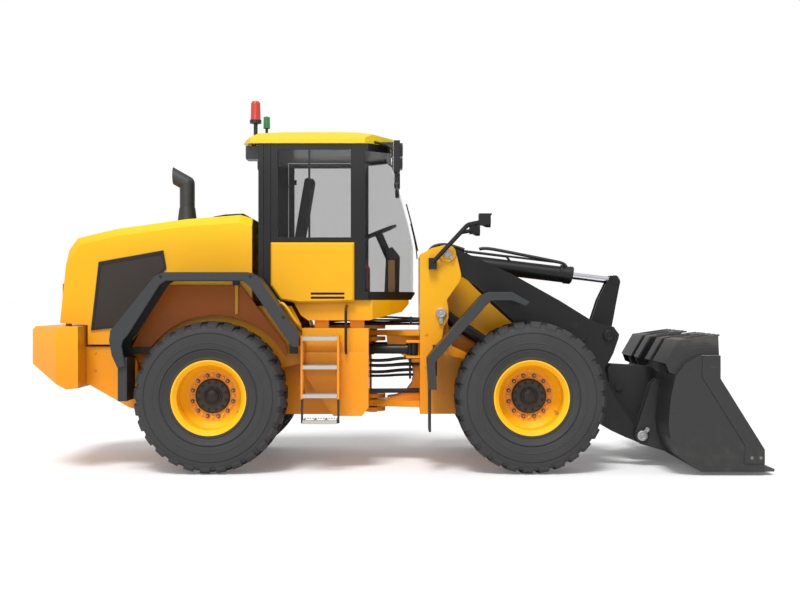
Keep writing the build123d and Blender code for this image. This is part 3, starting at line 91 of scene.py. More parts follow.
# %% [markdown]
# ## Writing materials as sums
# A shader is easier to read as arithmetic than as boxes and wires. `Wire` holds one socket
# and lets it be added, multiplied or compared, and `make` makes any other node. All patterns
# read Object coordinates, so they stay still when the machine moves.

# %% Shader helpers


def plug(tree, value, target):
    """Gives a socket a wire or a plain value."""
    if isinstance(value, Wire):
        tree.links.new(value.socket, target)
    else:
        target.default_value = value


def make(tree, kind, output, settings=(), **sockets):
    """One node of any kind: its settings, its sockets by name, and the output wanted."""
    node = tree.nodes.new(kind)
    for key, value in dict(settings).items():
        setattr(node, key, value)
    for key, value in sockets.items():
        plug(tree, value, node.inputs[key.replace("_", " ")])
    return Wire(tree, node.outputs[output])


def sign(operation, swapped=False):
    """A method of Wire that does one sign of arithmetic, its sides swapped where asked."""
    def act(self, other):
        return self.math(operation, *((other, self) if swapped else (self, other)))

    return act


class Wire:
    """One socket of a node tree, used like a number."""

    def __init__(self, tree, socket):
        self.tree, self.socket = tree, socket

    def math(self, operation, *values, clamp=False):
        node = self.tree.nodes.new("ShaderNodeMath")
        node.operation = operation
        node.use_clamp = clamp
        for index, value in enumerate(values):
            plug(self.tree, value, node.inputs[index])
        return Wire(self.tree, node.outputs[0])

    __add__, __radd__ = sign("ADD"), sign("ADD", swapped=True)
    __sub__, __rsub__ = sign("SUBTRACT"), sign("SUBTRACT", swapped=True)
    __mul__, __rmul__ = sign("MULTIPLY"), sign("MULTIPLY", swapped=True)
    __truediv__, __rtruediv__ = sign("DIVIDE"), sign("DIVIDE", swapped=True)
    __gt__, __lt__ = sign("GREATER_THAN"), sign("LESS_THAN")

    def root(self):
        return self.math("SQRT", self)

    def clamped(self):
        return self.math("ADD", self, 0.0, clamp=True)


class Finish:
    """A material being written, with one Principled shader at its end."""

    def __init__(self, name):
        self.material = bpy.data.materials.new(name)
        self.material.use_nodes = True
        self.tree = self.material.node_tree
        self.tree.nodes.clear()
        self.shader = self.tree.nodes.new("ShaderNodeBsdfPrincipled")
        self.out = self.tree.nodes.new("ShaderNodeOutputMaterial")
        self.tree.links.new(self.shader.outputs[0], self.out.inputs["Surface"])

    def make(self, kind, output, settings=(), **sockets):
        """A node of the material's own tree."""
        return make(self.tree, kind, output, settings, **sockets)

    def place(self):
        """Object coordinates, as one vector."""
        return self.make("ShaderNodeTexCoord", "Object")

    def axes(self):
        """The three object coordinates, as wires."""
        node = self.tree.nodes.new("ShaderNodeSeparateXYZ")
        plug(self.tree, self.place(), node.inputs[0])
        return [Wire(self.tree, socket) for socket in node.outputs]

    def noise(self, scale, detail=3.0, rough=0.55, stretch=None):
        """Soft noise, stretched along an axis where that is asked for."""
        where = self.place()
        if stretch:
            where = self.make("ShaderNodeMapping", 0, Vector=where, Scale=stretch)
        return self.make(
            "ShaderNodeTexNoise", 0, Vector=where, Scale=scale, Detail=detail, Roughness=rough
        )

    def step(self, value, low, high):
        """0 below low, 1 above high and a smooth rise between."""
        return self.make(
            "ShaderNodeMapRange", 0, {"interpolation_type": "SMOOTHSTEP"}, Value=value,
            From_Min=low, From_Max=high,
        )

    def blend(self, factor, first, second):
        """Goes from one colour to another."""
        node = self.tree.nodes.new("ShaderNodeMix")
        node.data_type = "RGBA"
        plug(self.tree, factor, node.inputs[0])
        for value, socket in ((first, node.inputs[6]), (second, node.inputs[7])):
            plug(self.tree, value if isinstance(value, Wire) else (*value, 1), socket)
        return Wire(self.tree, node.outputs[2])

    def bump(self, height, distance, strength=1.0, after=None):
        """A normal from a height, over another normal where one is given."""
        sockets = {"Height": height, "Distance": distance, "Strength": strength}
        if after is not None:
            sockets["Normal"] = after
        return self.make("ShaderNodeBump", 0, **sockets)

    def soft_edges(self, width):
        """A normal that rounds the sharp edges of the solids."""
        return self.make("ShaderNodeBevel", 0, {"samples": 4}, Radius=width)

    def done(self, **sockets):
        """Gives the last sockets their wires or values, and hands the material over."""
        for key, value in sockets.items():
            target = self.shader.inputs[key.replace("_", " ")]
            if isinstance(value, tuple) and len(value) == 3:
                value = (*value, 1)
            plug(self.tree, value, target)
        return self.material


print("shader helpers ready")

# %% [markdown]
# ## World
# The studio is a white sweep. The world is white to the camera and behind glass, and dimmer
# to everything else, so that a colour renders about as it is written. Light Path tells which
# ray asks, and needs no second world.

# %% World
scene.view_settings.view_transform = "Standard"
WORLD_LIGHT = 0.49
GLOSSY_SHARE = 0.3


def studio_world():
    """A world that is white where it is seen, and gives a plain fill light elsewhere."""
    world = bpy.data.worlds.new("studio")
    world.use_nodes = True
    tree = world.node_tree
    tree.nodes.clear()
    seen = make(tree, "ShaderNodeLightPath", "Is Camera Ray")
    clear = make(tree, "ShaderNodeLightPath", "Is Transmission Ray")
    shiny = make(tree, "ShaderNodeLightPath", "Is Glossy Ray")
    level = (seen + clear + shiny * GLOSSY_SHARE).clamped() * (1.0 - WORLD_LIGHT) + WORLD_LIGHT
    sky = make(tree, "ShaderNodeBackground", 0, Color=(1, 1, 1, 1), Strength=level)
    out = tree.nodes.new("ShaderNodeOutputWorld")
    tree.links.new(sky.socket, out.inputs["Surface"])
    scene.world = world


studio_world()
print("world light", WORLD_LIGHT)

# %% [markdown]
# ## Lamps
# The shadow in the photograph falls under and behind the machine, so the light comes from
# high up on the camera's side. A sun with a wide disc gives that soft shadow. Two broad
# panels add a little, one from above and one from the side, for the long highlights.

# %% Lamps
SUN_STRENGTH = 2.6
SUN_DISC_DEG = 20
SUN_TILT_DEG = (32, -8, 0)
PANEL_ROWS = (
    # name, place, target, size, watts
    ("top_panel", (0, -0.5, 9.0), (0, 0, 0), (12, 6), 60),
    ("side_panel", (-4.0, -11.0, 6.0), (0, 0, 1.4), (9, 4), 230),
)


def panel_lamp(name, place, target, size, watts):
    """A broad, soft, rectangular lamp that looks at a point."""
    data = bpy.data.lights.new(name, "AREA")
    data.shape = "RECTANGLE"
    data.size, data.size_y = size
    data.energy = watts
    aim = Vector(target) - Vector(place)
    stand(name, data, place).rotation_euler = aim.to_track_quat("-Z", "Y").to_euler()


sun_data = bpy.data.lights.new("high_sun", "SUN")
sun_data.energy = SUN_STRENGTH
sun_data.angle = math.radians(SUN_DISC_DEG)
high_sun = stand("high_sun", sun_data)
high_sun.rotation_euler = [math.radians(angle) for angle in SUN_TILT_DEG]
for row in PANEL_ROWS:
    panel_lamp(*row)

# %% [markdown]
# ## Floor
# The floor is matt and nearly white, so it takes the shadow. A faint glow that only the
# camera sees lifts its lit part to full white, and the floor's far edge is lost in the world.

# %% Floor
FLOOR_LIFT = 0.12
FLOOR_HALF = 400.0
FLOOR_TONES = ((0.84, 0.84, 0.85), (0.86, 0.86, 0.86))


def pale_floor():
    """A matt white floor that is lifted to white only where the camera sees it."""
    finish = Finish("pale_floor")
    grain = finish.noise(0.6, detail=2.0)
    seen = finish.make("ShaderNodeLightPath", "Is Camera Ray")
    glow = finish.make("ShaderNodeEmission", 0, Color=(1, 1, 1, 1), Strength=seen * FLOOR_LIFT)
    both = finish.tree.nodes.new("ShaderNodeAddShader")
    finish.tree.links.new(finish.shader.outputs[0], both.inputs[0])
    finish.tree.links.new(glow.socket, both.inputs[1])
    finish.tree.links.new(both.outputs[0], finish.out.inputs["Surface"])
    return finish.done(Base_Color=finish.blend(grain, *FLOOR_TONES), Roughness=grain * 0.1 + 0.55)


corners = [(x * FLOOR_HALF, y * FLOOR_HALF, 0) for x, y in ((-1, -1), (1, -1), (1, 1), (-1, 1))]
floor_mesh = bpy.data.meshes.new("floor")
floor_mesh.from_pydata(corners, [], [(0, 1, 2, 3)])
floor = stand("floor", floor_mesh)
floor.data.materials.append(pale_floor())
print("floor", 2 * FLOOR_HALF, "m")

# %% [markdown]
# ## Sprayed paint
# The body is sprayed in one deep yellow under a clear gloss. There is a fine orange-peel in the
# gloss, a slow drift in tone over a metre and a little dust near the ground. Light and shade are
# painted in too: low down the yellow deepens to orange as painted shade and bounced light, and
# towards the top it turns a clearer yellow as a painted highlight. The same recipe with other
# numbers makes the dark paint of the arm, the cab and the fenders.

# %% Paint recipe
YELLOW = (0.83, 0.405, 0.003)
# Low tone: painted shade and bounced light, a deeper orange than the plain yellow.
YELLOW_LOW_PAINTED_SHADE = (0.84, 0.270, 0.002)
# Top tone: a painted highlight, a clearer yellow where light falls from above.
YELLOW_PAINTED_TOP_LIGHT = (0.76, 0.54, 0.006)
DUST = (0.26, 0.22, 0.17)
SHEEN = 0.28
PEEL_SCALE = 230.0
PEEL_DEPTH = 0.0005
PEEL_STRENGTH = 0.2
# Heights in metres: where a tone starts, and where it is full.
LOW_PAINTED_SHADE_BAND = (1.75, 0.85)
PAINTED_TOP_LIGHT_BAND = (2.05, 2.50)
DUST_BAND = (1.3, 0.1)
SPECK_BAND = (0.40, 0.85)


def sprayed_tone(paint, colour, low_shade_colour, dust):
    """The colour of sprayed paint, from clean and high, with a painted highlight on yellow, to
    painted shade and dust low down.
    """
    z = paint.axes()[2]
    # Painted shade: the tone deepens to the low colour from the band down, with a slow drift.
    low = paint.step(z, *LOW_PAINTED_SHADE_BAND) * 0.9 + (paint.noise(1.3, detail=2.0) - 0.5) * 0.3
    speck = paint.noise(11.0, detail=6.0, rough=0.7)
    dusty = paint.step(speck * paint.step(z, *DUST_BAND), *SPECK_BAND) * dust
    tone = paint.blend(low.clamped(), colour, low_shade_colour)
    # Painted highlight: the yellow turns clearer towards the tops.
    if colour == YELLOW:
        tone = paint.blend(paint.step(z, *PAINTED_TOP_LIGHT_BAND), tone, YELLOW_PAINTED_TOP_LIGHT)
    return paint.blend(dusty, tone, DUST), dusty


def gloss_normal(paint, edge):
    """Orange-peel over edges that are rounded a little."""
    peel = paint.noise(PEEL_SCALE, detail=2.0)
    return paint.bump(peel, PEEL_DEPTH, PEEL_STRENGTH, paint.soft_edges(edge))


def sprayed(name, colour, low_shade_colour, rough, coat, dust, edge=0.004):
    """Sprayed paint with drift, orange-peel, settled dust, painted light and shade, and softened
    edges.
    """
    paint = Finish(name)
    tone, dusty = sprayed_tone(paint, colour, low_shade_colour, dust)
    gloss = paint.noise(5.0, detail=4.0) * 0.12 + (rough - 0.06) + dusty * 0.5
    return paint.done(
        Base_Color=tone, Roughness=gloss, Coat_Weight=coat, Coat_Roughness=0.08,
        Specular_IOR_Level=SHEEN, Normal=gloss_normal(paint, edge),
    )


print("paint recipe ready")

# %% [markdown]
# ## Two paints on one body
# The cab is dark above and yellow below its waist, and both are one solid. A mask on the
# object's own coordinates parts the two paints, as masking tape does in the spray booth.

# %% Two paints on one body
DOOR_WAIST = 2.199
SIDE_PANEL = {"face": -0.7003, "top": 2.1995, "rear": -1.2175, "front": -0.4045}
FLOOR_FRAME_TOP = 1.639


def two_tone(name, mask_of, first, second, rough=0.34):
    """Two paints on one body, parted where a mask says so."""
    paint = Finish(name)
    first_tone, dusty = sprayed_tone(paint, first[0], first[1], 0.1)
    second_tone = sprayed_tone(paint, second[0], second[1], 0.1)[0]
    tone = paint.blend(mask_of(paint), first_tone, second_tone)
    gloss = paint.noise(5.0, detail=4.0) * 0.12 + (rough - 0.06) + dusty * 0.4
    return paint.done(
        Base_Color=tone, Roughness=gloss, Coat_Weight=0.12, Coat_Roughness=0.10,
        Specular_IOR_Level=SHEEN, Normal=gloss_normal(paint, 0.004),
    )


def low_side_mask(paint):
    """1 on the pressed side panel and on the frame under the floor."""
    x, y, z = paint.axes()
    across = (x > SIDE_PANEL["rear"]) * (x < SIDE_PANEL["front"])
    panel = (y < SIDE_PANEL["face"]) * (z < SIDE_PANEL["top"]) * across
    return (panel + (z < FLOOR_FRAME_TOP)).clamped()


def door_mask(paint):
    """1 on the door's lower part."""
    return paint.axes()[2] < DOOR_WAIST


print("masks ready")

# %% [markdown]
# ## The paints
# Yellow for the body, nearly black for the arm and the cab, a grey plastic for the fenders
# and a cast grey for the axles. The wheel arch's liner is a deeper orange, which is painted
# shade, for it lies under the fender, and two small things in the cab are red and tan.

# %% The paints
CAB_DARK = (0.009, 0.009, 0.010)
ARM_DARK = (0.008, 0.008, 0.009)
ARM_DARK_LOW = (0.009, 0.009, 0.009)
# Painted shade: the deep orange of the arch liner under the fender.
ARCH_PAINTED_SHADE = (0.46, 0.110, 0.002)
TAN = (0.30, 0.17, 0.075)
PAINT_ROWS = (
    # name, colour, colour low down with its painted shade, roughness, coat, dust, width of the
    # soft edges
    ("yellow_paint", YELLOW, YELLOW_LOW_PAINTED_SHADE, 0.32, 0.14, 0.15, 0.006),
    ("roof_paint", YELLOW, YELLOW_LOW_PAINTED_SHADE, 0.26, 0.25, 0.15, 0.010),
    ("arm_paint", ARM_DARK, ARM_DARK_LOW, 0.40, 0.12, 0.15),
    ("crank_paint", ARM_DARK, ARM_DARK_LOW, 0.42, 0.1, 0.15),
    ("fender_plastic", (0.036, 0.038, 0.040), (0.034, 0.035, 0.036), 0.46, 0.05, 0.2, 0.012),
    ("trim_black", (0.012, 0.012, 0.013), (0.014, 0.014, 0.014), 0.42, 0.1, 0.05),
    ("cast_grey", (0.030, 0.030, 0.031), (0.034, 0.032, 0.031), 0.50, 0.05, 0.3),
    ("arch_paint", ARCH_PAINTED_SHADE, ARCH_PAINTED_SHADE, 0.45, 0.1, 0.2),
    ("red_shell", (0.16, 0.010, 0.012), (0.12, 0.010, 0.012), 0.25, 0.5, 0.0),
    ("tan_board", TAN, TAN, 0.55, 0.0, 0.0),
)
(yellow_paint, roof_paint, arm_paint, crank_paint, fender_plastic, trim_black, cast_grey,
 arch_paint, red_shell, tan_board) = [sprayed(*row) for row in PAINT_ROWS]
cab_pair = ((CAB_DARK, CAB_DARK), (YELLOW, YELLOW_LOW_PAINTED_SHADE))
cab_paint = two_tone("cab_paint", low_side_mask, *cab_pair)
door_paint = two_tone("door_paint", door_mask, *cab_pair)
print("paints", len(bpy.data.materials))

# %% [markdown]
# ## Rubber and steel
# Tyre rubber is matt, with fine grain and a bloom that turns it a little brown. Rods are hard
# chrome, and pins and fittings are bare or zinc-plated steel, brushed in one direction. A
# noise that is stretched along one axis makes the brushing.

# %% Rubber and steel
RUBBER_BLOOM = (0.046, 0.044, 0.042)
BRUSHING = (0.1, 1.0, 1.0)
BRUSH_SCALE = 40.0
WEAR_SHARE = 0.72
STEEL_ROWS = (
    # name, colour, roughness, metal
    ("chrome", (0.80, 0.80, 0.84), 0.03, 1.0),
    ("zinc_steel", (0.55, 0.54, 0.52), 0.30, 1.0),
    ("worn_steel", (0.10, 0.10, 0.10), 0.42, 0.7),
    ("pin_steel", (0.50, 0.50, 0.50), 0.34, 0.8),
    ("nut_steel", (0.22, 0.12, 0.07), 0.36, 0.5),
    ("soot_steel", (0.055, 0.055, 0.058), 0.36, 0.4),
)


def rubber(name, colour, rough):
    """Matt rubber with fine grain and bloom."""
    skin = Finish(name)
    grain = skin.noise(95.0, detail=5.0, rough=0.7)
    bloom = skin.step(skin.noise(3.0, detail=4.0), 0.35, 0.8)
    tone = skin.blend(bloom * 0.4, colour, RUBBER_BLOOM)
    normal = skin.bump(grain, 0.0010, 0.4, skin.soft_edges(0.006))
    return skin.done(Base_Color=tone, Roughness=grain * 0.2 + rough, Normal=normal)


def bare_steel(name, colour, rough, metal):
    """Brushed steel with some wear."""
    steel = Finish(name)
    streak = steel.noise(BRUSH_SCALE, detail=4.0, stretch=BRUSHING)
    wear = steel.noise(14.0, detail=6.0)
    tone = steel.blend(wear, colour, tuple(WEAR_SHARE * level for level in colour))
    normal = steel.bump(streak, 0.0005, 0.3, steel.soft_edges(0.003))
    gloss = streak * 0.2 + rough
    return steel.done(Base_Color=tone, Roughness=gloss, Metallic=metal, Normal=normal)


tyre_rubber = rubber("tyre_rubber", (0.026, 0.026, 0.027), 0.62)
hose_rubber = rubber("hose_rubber", (0.010, 0.010, 0.011), 0.42)
chrome, zinc_steel, worn_steel, pin_steel, nut_steel, soot_steel = [
    bare_steel(*row) for row in STEEL_ROWS
]
print("steels and rubbers ready")

# %% [markdown]
# ## The bucket's paint
# Soil rubs the bucket's dark paint grey, first along its guard. The scrapes are a noise that
# is drawn out level. The bolts of the side cutters are sunk flush, so they are two small
# bright discs in the paint.

# %% The bucket's paint
BUCKET_DARK = (0.016, 0.016, 0.017)
BUCKET_DARK_LOW = (0.020, 0.020, 0.020)
SCRAPED = (0.10, 0.10, 0.10)
GUARD_WORN = (0.085, 0.078, 0.068)
GUARD_BAND = (1.16, 1.26)
CUTTER_BOLT = (0.16, 0.16, 0.16)
CUTTER_BOLT_EDGE = (0.016, 0.013)
CUTTER_BOLTS = ((3.320, 0.167), (3.404, 0.167))


def distance(x, z, centre_x, centre_z):
    """How far a point is from an axis across the machine."""
    return ((x - centre_x) * (x - centre_x) + (z - centre_z) * (z - centre_z)).root()


def scuffed_paint():
    """The bucket's dark paint, scraped grey, and most of all along its guard."""
    paint = Finish("scuffed_paint")
    tone, dusty = sprayed_tone(paint, BUCKET_DARK, BUCKET_DARK_LOW, 0.1)
    scrape = paint.noise(7.0, detail=7.0, rough=0.75, stretch=(0.6, 1.0, 3.0))
    worn = paint.step(scrape, 0.60, 0.72) * 0.25
    tone = paint.blend(worn, tone, SCRAPED)
    x, _, z = paint.axes()
    guard = paint.step(z, *GUARD_BAND) * paint.step(scrape, 0.35, 0.60)
    tone = paint.blend(guard * 0.6, tone, GUARD_WORN)
    for bolt_x, bolt_z in CUTTER_BOLTS:
        reach = distance(x, z, bolt_x, bolt_z)
        tone = paint.blend(paint.step(reach, *CUTTER_BOLT_EDGE), tone, CUTTER_BOLT)
    return paint.done(
        Base_Color=tone, Roughness=0.50 - worn * 0.4 + dusty, Normal=gloss_normal(paint, 0.003)
    )


bucket_paint = scuffed_paint()
print("bucket paint ready")

# %% [markdown]
# ## Glass and lenses
# The panes are lightly smoked. Each is a thin solid, so a look through the cab passes four
# skins, and the alpha of one is low. A lens is ribbed and holds a little light.

# %% Glass and lenses
PANE_ALPHA = 0.19
LENS_SHADE = 0.55


def smoked_glass(name, colour, alpha):
    """A smooth dark pane that is mostly clear."""
    pane = Finish(name)
    haze = pane.noise(1.1, detail=1.0)
    return pane.done(Base_Color=colour, Roughness=haze * 0.02 + 0.02, Alpha=alpha)


def clear_lens(name, colour, glow):
    """A ribbed lamp lens that holds a little light."""
    lens = Finish(name)
    ribs = lens.make("ShaderNodeTexWave", 1, Vector=lens.place(), Scale=28.0)
    tone = lens.blend(ribs * 0.35, colour, tuple(LENS_SHADE * level for level in colour))
    return lens.done(
        Base_Color=tone, Emission_Color=tone, Emission_Strength=glow,
        Roughness=ribs * 0.1 + 0.08, Normal=lens.bump(ribs, 0.001, 0.5),
    )


cab_pane = smoked_glass("cab_pane", (0.030, 0.031, 0.033), PANE_ALPHA)
lamp_lens = clear_lens("lamp_lens", (0.55, 0.56, 0.58), 0.05)
tail_lens = clear_lens("tail_lens", (0.50, 0.03, 0.02), 0.03)
print("glass ready")

# %% [markdown]
# ## Wheels, beacons and ladders
# These solids also hold more than one finish. On a wheel the masks are rings about its own
# axle. On the beacons and the ladders they are boxes, read from where the pieces stand.

# %% Wheels, beacons and ladders
RIM_TONES = ((0.97, 0.50, 0.006), (0.95, 0.46, 0.005))
# The ring round the nuts is painted shade of the recessed disc.
NUT_RING_SHADE_BAND = (0.250, 0.225)
NUT_RING_PAINTED_SHADE = (0.75, 0.22, 0.015)
HUB_EDGE = (0.1675, 0.1655)
HUB_DARK = (0.022, 0.021, 0.021)
BEACON_RED = (0.55, 0.045, 0.025)
BEACON_GREEN = (0.030, 0.22, 0.07)
BEACON_STEM = (0.014, 0.014, 0.015)
BEACON_SPLIT_X = -1.345
RED_FOOT_Z = 3.436
GREEN_FOOT_Z = 3.376
ZINC_TONES = ((0.36, 0.34, 0.31), (0.52, 0.50, 0.47))
STRAP_BLACK = (0.02, 0.02, 0.02)
STRINGER_REAR_X = -0.8795
STRINGER_FRONT_X = -0.5555
STRAP_TOP_Z = 0.7005


def wheel_paint(name, axle_x, axle_z):
    """The rim's yellow, a ring of painted shade on the recessed disc round the nuts and a dark
    hub.
    """
    paint = Finish(name)
    x, _, z = paint.axes()
    reach = distance(x, z, axle_x, axle_z)
    rim = paint.blend(paint.noise(2.0), *RIM_TONES)
    # Painted shade on the recessed disc round the nuts.
    tone = paint.blend(paint.step(reach, *NUT_RING_SHADE_BAND) * 0.45, rim, NUT_RING_PAINTED_SHADE)
    hub = paint.step(reach, *HUB_EDGE)
    tone = paint.blend(hub, tone, HUB_DARK)
    rough = 0.34 + hub * 0.1 + paint.noise(6.0) * 0.08
    return paint.done(Base_Color=tone, Roughness=rough, Normal=gloss_normal(paint, 0.005))


def beacon_plastic():
    """Two domes, red and green, on dark stems and lamp boxes."""
    shell = Finish("beacon_plastic")
    x, y, z = shell.axes()
    red = (z > RED_FOOT_Z) * (x < BEACON_SPLIT_X) * (y < -0.3)
    green = (z > GREEN_FOOT_Z) * (x > BEACON_SPLIT_X) * (y < -0.1)
    level = {"bands_direction": "Z"}
    ribs = shell.make("ShaderNodeTexWave", 1, level, Vector=shell.place(), Scale=30.0)
    tone = shell.blend(red, BEACON_STEM, BEACON_RED)
    tone = shell.blend(green, tone, BEACON_GREEN)
    normal = shell.bump(ribs * (red + green), 0.002, 0.6, shell.soft_edges(0.004))
    return shell.done(Base_Color=tone, Roughness=0.35 - red * 0.12 + ribs * 0.04, Normal=normal)


def ladder_steel():
    """Zinc treads on yellow stringers, with black straps low down."""
    steel = Finish("ladder_steel")
    x, _, z = steel.axes()
    side = ((x < STRINGER_REAR_X) + (x > STRINGER_FRONT_X)).clamped()
    speckle = steel.noise(160.0, detail=3.0)
    # The stringers take the yellow's low tone, painted shade included.
    tone = steel.blend(side, steel.blend(speckle, *ZINC_TONES), YELLOW_LOW_PAINTED_SHADE)
    tone = steel.blend(side * (z < STRAP_TOP_Z), tone, STRAP_BLACK)
    normal = steel.bump(speckle, 0.0008, 0.3, steel.soft_edges(0.003))
    return steel.done(Base_Color=tone, Roughness=speckle * 0.2 + 0.36, Normal=normal)


ladder_finish = ladder_steel()
beacon_finish = beacon_plastic()
print("materials", len(bpy.data.materials))

# %% [markdown]
# ## The frame's nodes
# Each solid that is right as it is keeps its shape and only gets a finish. The wheels share a
# paint that needs to know where its own axle is, so that is read from the solid's box.

# %% Give the frame's nodes their finishes
FINISH_ROWS = (
    (yellow_paint, "rear_chassis counterweight hood side_tanks front_chassis"),
    (roof_paint, "cab_roof"), (cab_paint, "cab_frame"), (door_paint, "cab_door"),
    (fender_plastic, "front_fenders rear_fenders"),
    (trim_black, "side_grilles rear_grille headlamps mirrors controls seat"),
    (hose_rubber, "mud_flaps"), (soot_steel, "exhaust_stack"),
    (cast_grey, "engine_block front_axle rear_axle"), (worn_steel, "cutting_edge"),
    (arm_paint, "boom tilt_barrel lift_barrel_left lift_barrel_right"),
    (arm_paint, "steer_barrel_left steer_barrel_right"),
    (crank_paint, "bell_crank tilt_link"), (bucket_paint, "bucket"),
    (ladder_finish, "ladders"), (beacon_finish, "beacons"), (cab_pane, "cab_glass door_glass"),
    (chrome, "tilt_rod lift_rod_left lift_rod_right steer_rod_left steer_rod_right"),
)
FINISHES = {node: finish for finish, nodes in FINISH_ROWS for node in nodes.split()}
CORNERS = ("front_left", "front_right", "rear_left", "rear_right")
CENTRES = {}
for corner in CORNERS:
    low, high = (Vector(point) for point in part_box("tyre_" + corner))
    CENTRES[corner] = (low + high) / 2
    FINISHES["tyre_" + corner] = tyre_rubber
    FINISHES["wheel_" + corner] = wheel_paint(
        "wheel_paint_" + corner, CENTRES[corner].x, CENTRES[corner].z
    )
for name, node in NODES.items():
    node.data.materials.clear()
    node.data.materials.append(FINISHES[name])
print("nodes painted", len(NODES))

# %% [markdown]
# ## Making pieces
# Most added pieces are one of three things: a turned profile, a plate cut to an outline, or a
# round tube along a path. Each comes from one short function, gets its edges broken a little
# as the real one has, and rides on a body of the frame where one is given.


def to_mesh(shell, name, smooth_degrees=35.0):
    """Closes a bmesh into a mesh with outward normals and smooth curves."""
    bmesh.ops.remove_doubles(shell, verts=shell.verts, dist=1e-6)
    bmesh.ops.recalc_face_normals(shell, faces=shell.faces)
    mesh = bpy.data.meshes.new(name)
    shell.to_mesh(mesh)
    shell.free()
    mesh.shade_smooth()
    mesh.set_sharp_from_angle(angle=math.radians(smooth_degrees))
    return mesh


def as_piece(mesh, name, finish, body=None):
    """An object of that mesh, with its finish, that rides on a body."""
    piece = stand(name, mesh)
    mesh.materials.clear()
    mesh.materials.append(finish)
    if body:
        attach(piece, body)
    return piece


def finished(shell, name, finish, body):
    """Closes a bmesh and makes it a piece."""
    return as_piece(to_mesh(shell, name), name, finish, body)


def turned(profile, centre, turns=40, axis="Y"):
    """A bmesh with one turned profile."""
    shell = bmesh.new()
    lathe(shell, profile, centre, turns, axis)
    return shell


def plate(outline, faces, axis="Y", bevel=0.002):
    """A bmesh with one plate between two faces, whichever is named first."""
    shell = bmesh.new()
    slab(shell, outline, *sorted(faces), axis, bevel)
    return shell


def skin(shell, rings, loop=False):
    """Adds a skin over rings of points, each joined to the next."""
    rows = [[shell.verts.new(point) for point in ring] for ring in rings]
    pairs = list(zip(rows, rows[1:]))
    if loop:
        pairs.append((rows[-1], rows[0]))
    for first, second in pairs:
        for index in range(len(first)):
            after = (index + 1) % len(first)
            shell.faces.new((first[index], first[after], second[after], second[index]))
    if not loop:
        shell.faces.new(rows[0])
        shell.faces.new(rows[-1])


AXIS_ORDER = {"X": (2, 0, 1), "Y": (0, 2, 1), "Z": (0, 1, 2)}


def spot(a, b, along, axis):
    """A point from two places across an axis and one along it."""
    return Vector([(a, b, along)[place] for place in AXIS_ORDER[axis]])


def lathe(shell, profile, centre, turns=40, axis="Y"):
    """Adds a closed profile of (radius, along) turned about an axis through the centre."""
    rings = []
    for index in range(turns):
        angle = 2 * math.pi * index / turns
        across, up = math.cos(angle), math.sin(angle)
        rings.append([
            spot(radius * across, radius * up, along, axis) + Vector(centre)
            for radius, along in profile
        ])
    skin(shell, rings, loop=True)


def slab(shell, outline, near, far, axis="Y", bevel=0.002):
    """Adds a plate of an outline, from near to far along an axis, with broken edges."""
    before = set(shell.edges)
    skin(shell, [[spot(a, b, along, axis) for a, b in outline] for along in (near, far)])
    if bevel:
        fresh = [edge for edge in shell.edges if edge not in before]
        bmesh.ops.bevel(
            shell, geom=fresh, offset=bevel, segments=2, affect="EDGES", clamp_overlap=True
        )


def remade(mesh, name, finish, body, smooth_degrees):
    """A piece from a mesh that came out of a curve or a node tree."""
    shell = bmesh.new()
    shell.from_mesh(mesh)
    bpy.data.meshes.remove(mesh)
    return as_piece(to_mesh(shell, name, smooth_degrees), name, finish, body)


def tube(name, points, radius, finish, body=None):
    """A round tube along a smooth path, as a mesh."""
    curve = bpy.data.curves.new(name, "CURVE")
    curve.dimensions = "3D"
    curve.bevel_depth = radius
    curve.bevel_resolution = 3
    curve.resolution_u = 6
    curve.use_fill_caps = True
    spline = curve.splines.new("NURBS")
    spline.points.add(len(points) - 1)
    for target, point in zip(spline.points, points):
        target.co = (*point, 1)
    spline.order_u = 3
    spline.use_endpoint_u = True
    holder = bpy.data.objects.new(name + "_path", curve)
    mesh = bpy.data.meshes.new_from_object(holder)
    bpy.data.objects.remove(holder)
    return remade(mesh, name, finish, body, 60.0)


def sided(path, side, drop=0.0):
    """A path of (forward, outward, height) on one side of the machine, lowered a little."""
    return [(x, side * out, z - drop) for x, out, z in path]


def oblong(low_a, high_a, low_b, high_b):
    """The outline of a rectangle."""
    return [(low_a, low_b), (high_a, low_b), (high_a, high_b), (low_a, high_b)]


BOTH = (("left", 1), ("right", -1))
print("piece helpers ready")

# %% [markdown]
# ## Copies by geometry nodes
# Lugs, wheel bolts and tread teeth repeat many times. Two small node trees place them: one
# turns copies of a part about the wheel's axle, and the other puts a copy on each point of a
# mesh. Both end in real geometry with a finish, and are then turned into plain meshes.

# %% Node trees


def node_tree(name, inputs):
    """A geometry tree, with its geometry and its other inputs as wires by name."""
    tree = bpy.data.node_groups.new(name, "GeometryNodeTree")
    for label, kind in (("Geometry", "NodeSocketGeometry"), *inputs):
        tree.interface.new_socket(label, in_out="INPUT", socket_type=kind)
    tree.interface.new_socket("Geometry", in_out="OUTPUT", socket_type="NodeSocketGeometry")
    sockets = tree.nodes.new("NodeGroupInput").outputs
    return tree, {socket.name: Wire(tree, socket) for socket in sockets if socket.name}


def finish_tree(tree, given, copies, with_host):
    """Realizes the copies, joins the host's own mesh if wanted, and sets the finish."""
    last = make(tree, "GeometryNodeRealizeInstances", 0, Geometry=copies)
    if with_host:
        together = tree.nodes.new("GeometryNodeJoinGeometry")
        for mesh in (given["Geometry"], last):
            plug(tree, mesh, together.inputs[0])
        last = Wire(tree, together.outputs[0])
    last = make(tree, "GeometryNodeSetMaterial", 0, Geometry=last, Material=given["Finish"])
    plug(tree, last, tree.nodes.new("NodeGroupOutput").inputs[0])


